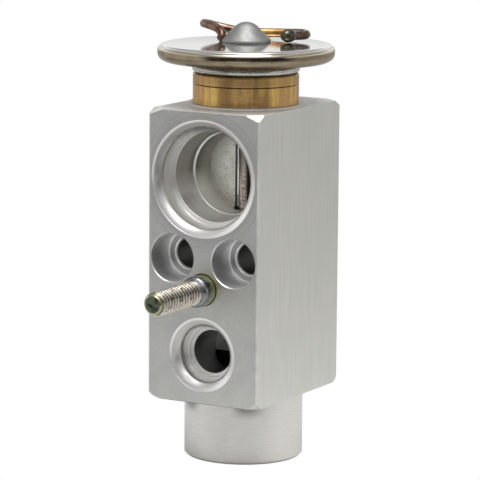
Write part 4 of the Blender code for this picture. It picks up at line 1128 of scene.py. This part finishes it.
# %% Finish, body and slot of each piece
DRESSING = [(stud, zinc, "mounting_stud", "zinc_stud"), (stud_collar, zinc, None, "zinc_stud"),
            (collar, brass, "threaded_collar", "collar_brass"), (neck, neck_steel, "neck_ring", None),
            (lower, steel, "lower_shell", "head_steel"), (upper, steel, "upper_shell", "head_steel"),
            (cap, solder, "charge_cap", None), (tube, copper, "charge_tube", "tube_copper"),
            (rod, rod_metal, "sensing_rod", "rod_metal")]
for obj, finish, node, slot in DRESSING:
    obj.data.materials.append(finish)
    smooth(obj, 40.0)
    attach(obj, "stem" if node == "sensing_rod" else "valve")
    if node:
        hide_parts(node)

KEPT = {"adjusting_nut": inner_brass, "seal_retainer": inner_brass, "ball_carrier": inner_brass,
        "diaphragm": steel, "diaphragm_pad": satin_steel, "push_rod": satin_steel,
        "valve_ball": steel, "superheat_spring": spring_steel, "collar_oring": rubber,
        "rod_oring": rubber, "adjuster_oring": rubber}
for node, finish in KEPT.items():
    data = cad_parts[node].data
    data.materials.clear()
    data.materials.append(finish)
    data.shade_smooth()
    data.set_sharp_from_angle(angle=math.radians(35.0))
print("dressed", len(DRESSING) + 1, "fine pieces and", len(KEPT), "packed nodes")

# %% [markdown]
# ## Studio
#
# The valve stands on a white table under a softbox. What polished metal shows is the
# room, so the room is laid out by direction: light walls all round, a dark band at the
# height of the horizon in front, one bright patch high up and one on the right. A soft
# fill lights the front and isn't seen in the metal. The table's colour carries a painted
# pool of light: bright by the valve, less so further out and dark far out in front. The
# camera sees plain white behind the part, and sees through the table from below.

# %% Floor
AHEAD = (0.559, -0.829, 0.0)
WHITE = (1.0, 1.0, 1.0)


def camera_sees(n, kind, light, seen):
    """Shows one shader to the camera and another one to everything else."""
    camera_ray = n.add("LightPath").outputs["Is Camera Ray"]
    mix = n.add("MixShader", {"Fac": camera_ray, 1: light.outputs[0], 2: seen.outputs[0]})
    n.add(kind, {"Surface": mix.outputs[0]})


def floor_material():
    """A pale table with a painted pool of light round the valve, plain white to the camera and clear to it
    from below.
    """
    material = bpy.data.materials.new("white_table")
    n = Nodes(emptied(material))
    place = n.add("TexCoord").outputs["Object"]
    far = n.vector("LENGTH", place)
    # Painted pool of light: the table's colour is bright by the valve, darker further out and darkest far
    # out in front.
    reach = n.mask(far, 0.06, 0.60)
    front = n.ramp(reach, [(0.0, 0.69), (0.2, 0.47), (0.54, 0.27), (1.0, 0.80)])
    behind = n.ramp(reach, [(0.0, 0.72), (0.2, 0.60), (0.54, 0.53), (1.0, 0.54)])
    side = n.mask(n.vector("DOT_PRODUCT", place, (0.2, 0.98, 0.0)), -0.05, 0.05)
    ahead = n.vector("DOT_PRODUCT", n.vector("NORMALIZE", place), AHEAD)
    dark = n.calc("MULTIPLY", n.mask(ahead, 0.38, 0.66), n.mask(far, 0.62, 0.85))
    shade = n.coats(front, (side, behind), (dark, (0.015, 0.015, 0.015)))
    table = n.add("BsdfDiffuse", {"Color": shade})
    white = n.add("Emission", {"Color": WHITE, "Strength": 1.0})
    below = n.add("NewGeometry").outputs["Backfacing"]
    clear = n.add("BsdfTransparent")
    seen = n.add("MixShader", {"Fac": below, 1: white.outputs[0], 2: clear.outputs[0]})
    camera_sees(n, "OutputMaterial", table, seen)
    return material


floor_shape = bmesh.new()
bmesh.ops.create_grid(floor_shape, x_segments=8, y_segments=8, size=1.5)
floor = linked_mesh("floor", floor_shape)
floor.location = (0.0, AXIS_Y * MM, (TAIL_BOTTOM - 0.02) * MM)
floor.data.materials.append(floor_material())
print("table at", round(floor.location.z / MM, 2), "mm")

# %% World and lights
ROOM_FRONT = [(0.0, 0.5), (0.40, 0.25), (0.46, 0.04), (0.545, 0.04), (0.61, 0.28), (0.75, 0.36),
              (0.86, 0.44), (1.0, 0.65)]
ROOM_BEHIND = [(0.0, 0.7), (0.48, 0.60), (0.52, 0.70), (0.565, 0.93), (0.66, 1.0), (0.71, 0.6),
               (0.80, 0.38), (1.0, 0.6)]
ROOM_PATCHES = [(30, 64, 26, 36, 1.3), (100, 4, 12, 24, 0.9)]


def toward(azimuth, elevation):
    """Unit vector, azimuth in degrees from the front towards the right."""
    a, e = math.radians(azimuth), math.radians(elevation)
    return (math.sin(a) * math.cos(e), -math.cos(a) * math.cos(e), math.sin(e))


def studio_world():
    """White for the camera, and for the metal a light room with a dark band in front."""
    world = bpy.data.worlds.new("studio")
    bpy.context.scene.world = world
    n = Nodes(emptied(world))
    look = n.add("TexCoord").outputs["Generated"]
    lift = n.mask(n.axes(look)[2], -1.0, 1.0)
    ahead = n.mask(n.vector("DOT_PRODUCT", look, AHEAD), 0.28, 0.58)
    room = n.mix(ahead, n.ramp(lift, ROOM_BEHIND), n.ramp(lift, ROOM_FRONT))
    for azimuth, elevation, inner, outer, level in ROOM_PATCHES:
        facing = n.vector("DOT_PRODUCT", look, toward(azimuth, elevation))
        rim, middle = math.cos(math.radians(outer)), math.cos(math.radians(inner))
        room = n.mix(n.mask(facing, rim, middle, "SMOOTHSTEP"), room, (level, level, level))
    lit = n.add("Background", {"Color": room, "Strength": 1.0})
    white = n.add("Background", {"Color": WHITE, "Strength": 1.0})
    camera_sees(n, "OutputWorld", lit, white)


def softbox(name, place, size, power):
    """A square area light that looks at the middle of the valve."""
    data = bpy.data.lights.new(name, "AREA")
    data.shape = "RECTANGLE"
    data.size = data.size_y = size
    data.energy = power
    light = bpy.data.objects.new(name, data)
    bpy.context.scene.collection.objects.link(light)
    light.location = place
    aim = Vector((0.0, AXIS_Y * MM, 0.0)) - Vector(place)
    light.rotation_euler = aim.to_track_quat("-Z", "Y").to_euler()
    return light


studio_world()
softbox("top_box", (0.1, -0.1, 0.7), 0.4, 3.3)
fill = softbox("fill_box", (0.24, -0.65, 0.08), 0.25, 1.3)
fill.visible_glossy = False
print("lights:", [light.name for light in bpy.data.lights])

# %% [markdown]
# ## Camera
#
# The view was found by matching the block's corners and rims with the picture: the
# camera is turned about 30 degrees to the right of the front, looks down by about
# 9.5 degrees and stands 0.8 m away with a long lens.

# %% Camera
AZIMUTH = math.radians(29.815)
ELEVATION = math.radians(9.485)
ROLL = math.radians(0.439)
STANDOFF = 803.8
SHIFT_RIGHT, SHIFT_UP = -1.366, 1.877
SENSOR, LENS = 36.0, 229.45
back = Vector((math.sin(AZIMUTH) * math.cos(ELEVATION), -math.cos(AZIMUTH) * math.cos(ELEVATION),
               math.sin(ELEVATION)))
right = Vector((math.cos(AZIMUTH), math.sin(AZIMUTH), 0.0))
up = back.cross(right)
centre = Vector((0.0, 22.1, 0.4))
eye = centre + right * SHIFT_RIGHT + up * SHIFT_UP + back * STANDOFF
axis_x = right * math.cos(ROLL) + up * math.sin(ROLL)
axis_y = up * math.cos(ROLL) - right * math.sin(ROLL)
camera_data = bpy.data.cameras.new("camera")
camera_data.sensor_width = SENSOR
camera_data.lens = LENS
camera_data.clip_start = 0.05
camera = bpy.data.objects.new("camera", camera_data)
bpy.context.scene.collection.objects.link(camera)
camera.matrix_world = Matrix((
    (axis_x.x, axis_y.x, back.x, eye.x * MM),
    (axis_x.y, axis_y.y, back.y, eye.y * MM),
    (axis_x.z, axis_y.z, back.z, eye.z * MM),
    (0.0, 0.0, 0.0, 1.0)))
bpy.context.scene.camera = camera
bpy.context.scene.view_settings.view_transform = "Standard"
print("camera at", [round(value, 3) for value in camera.location], "m")
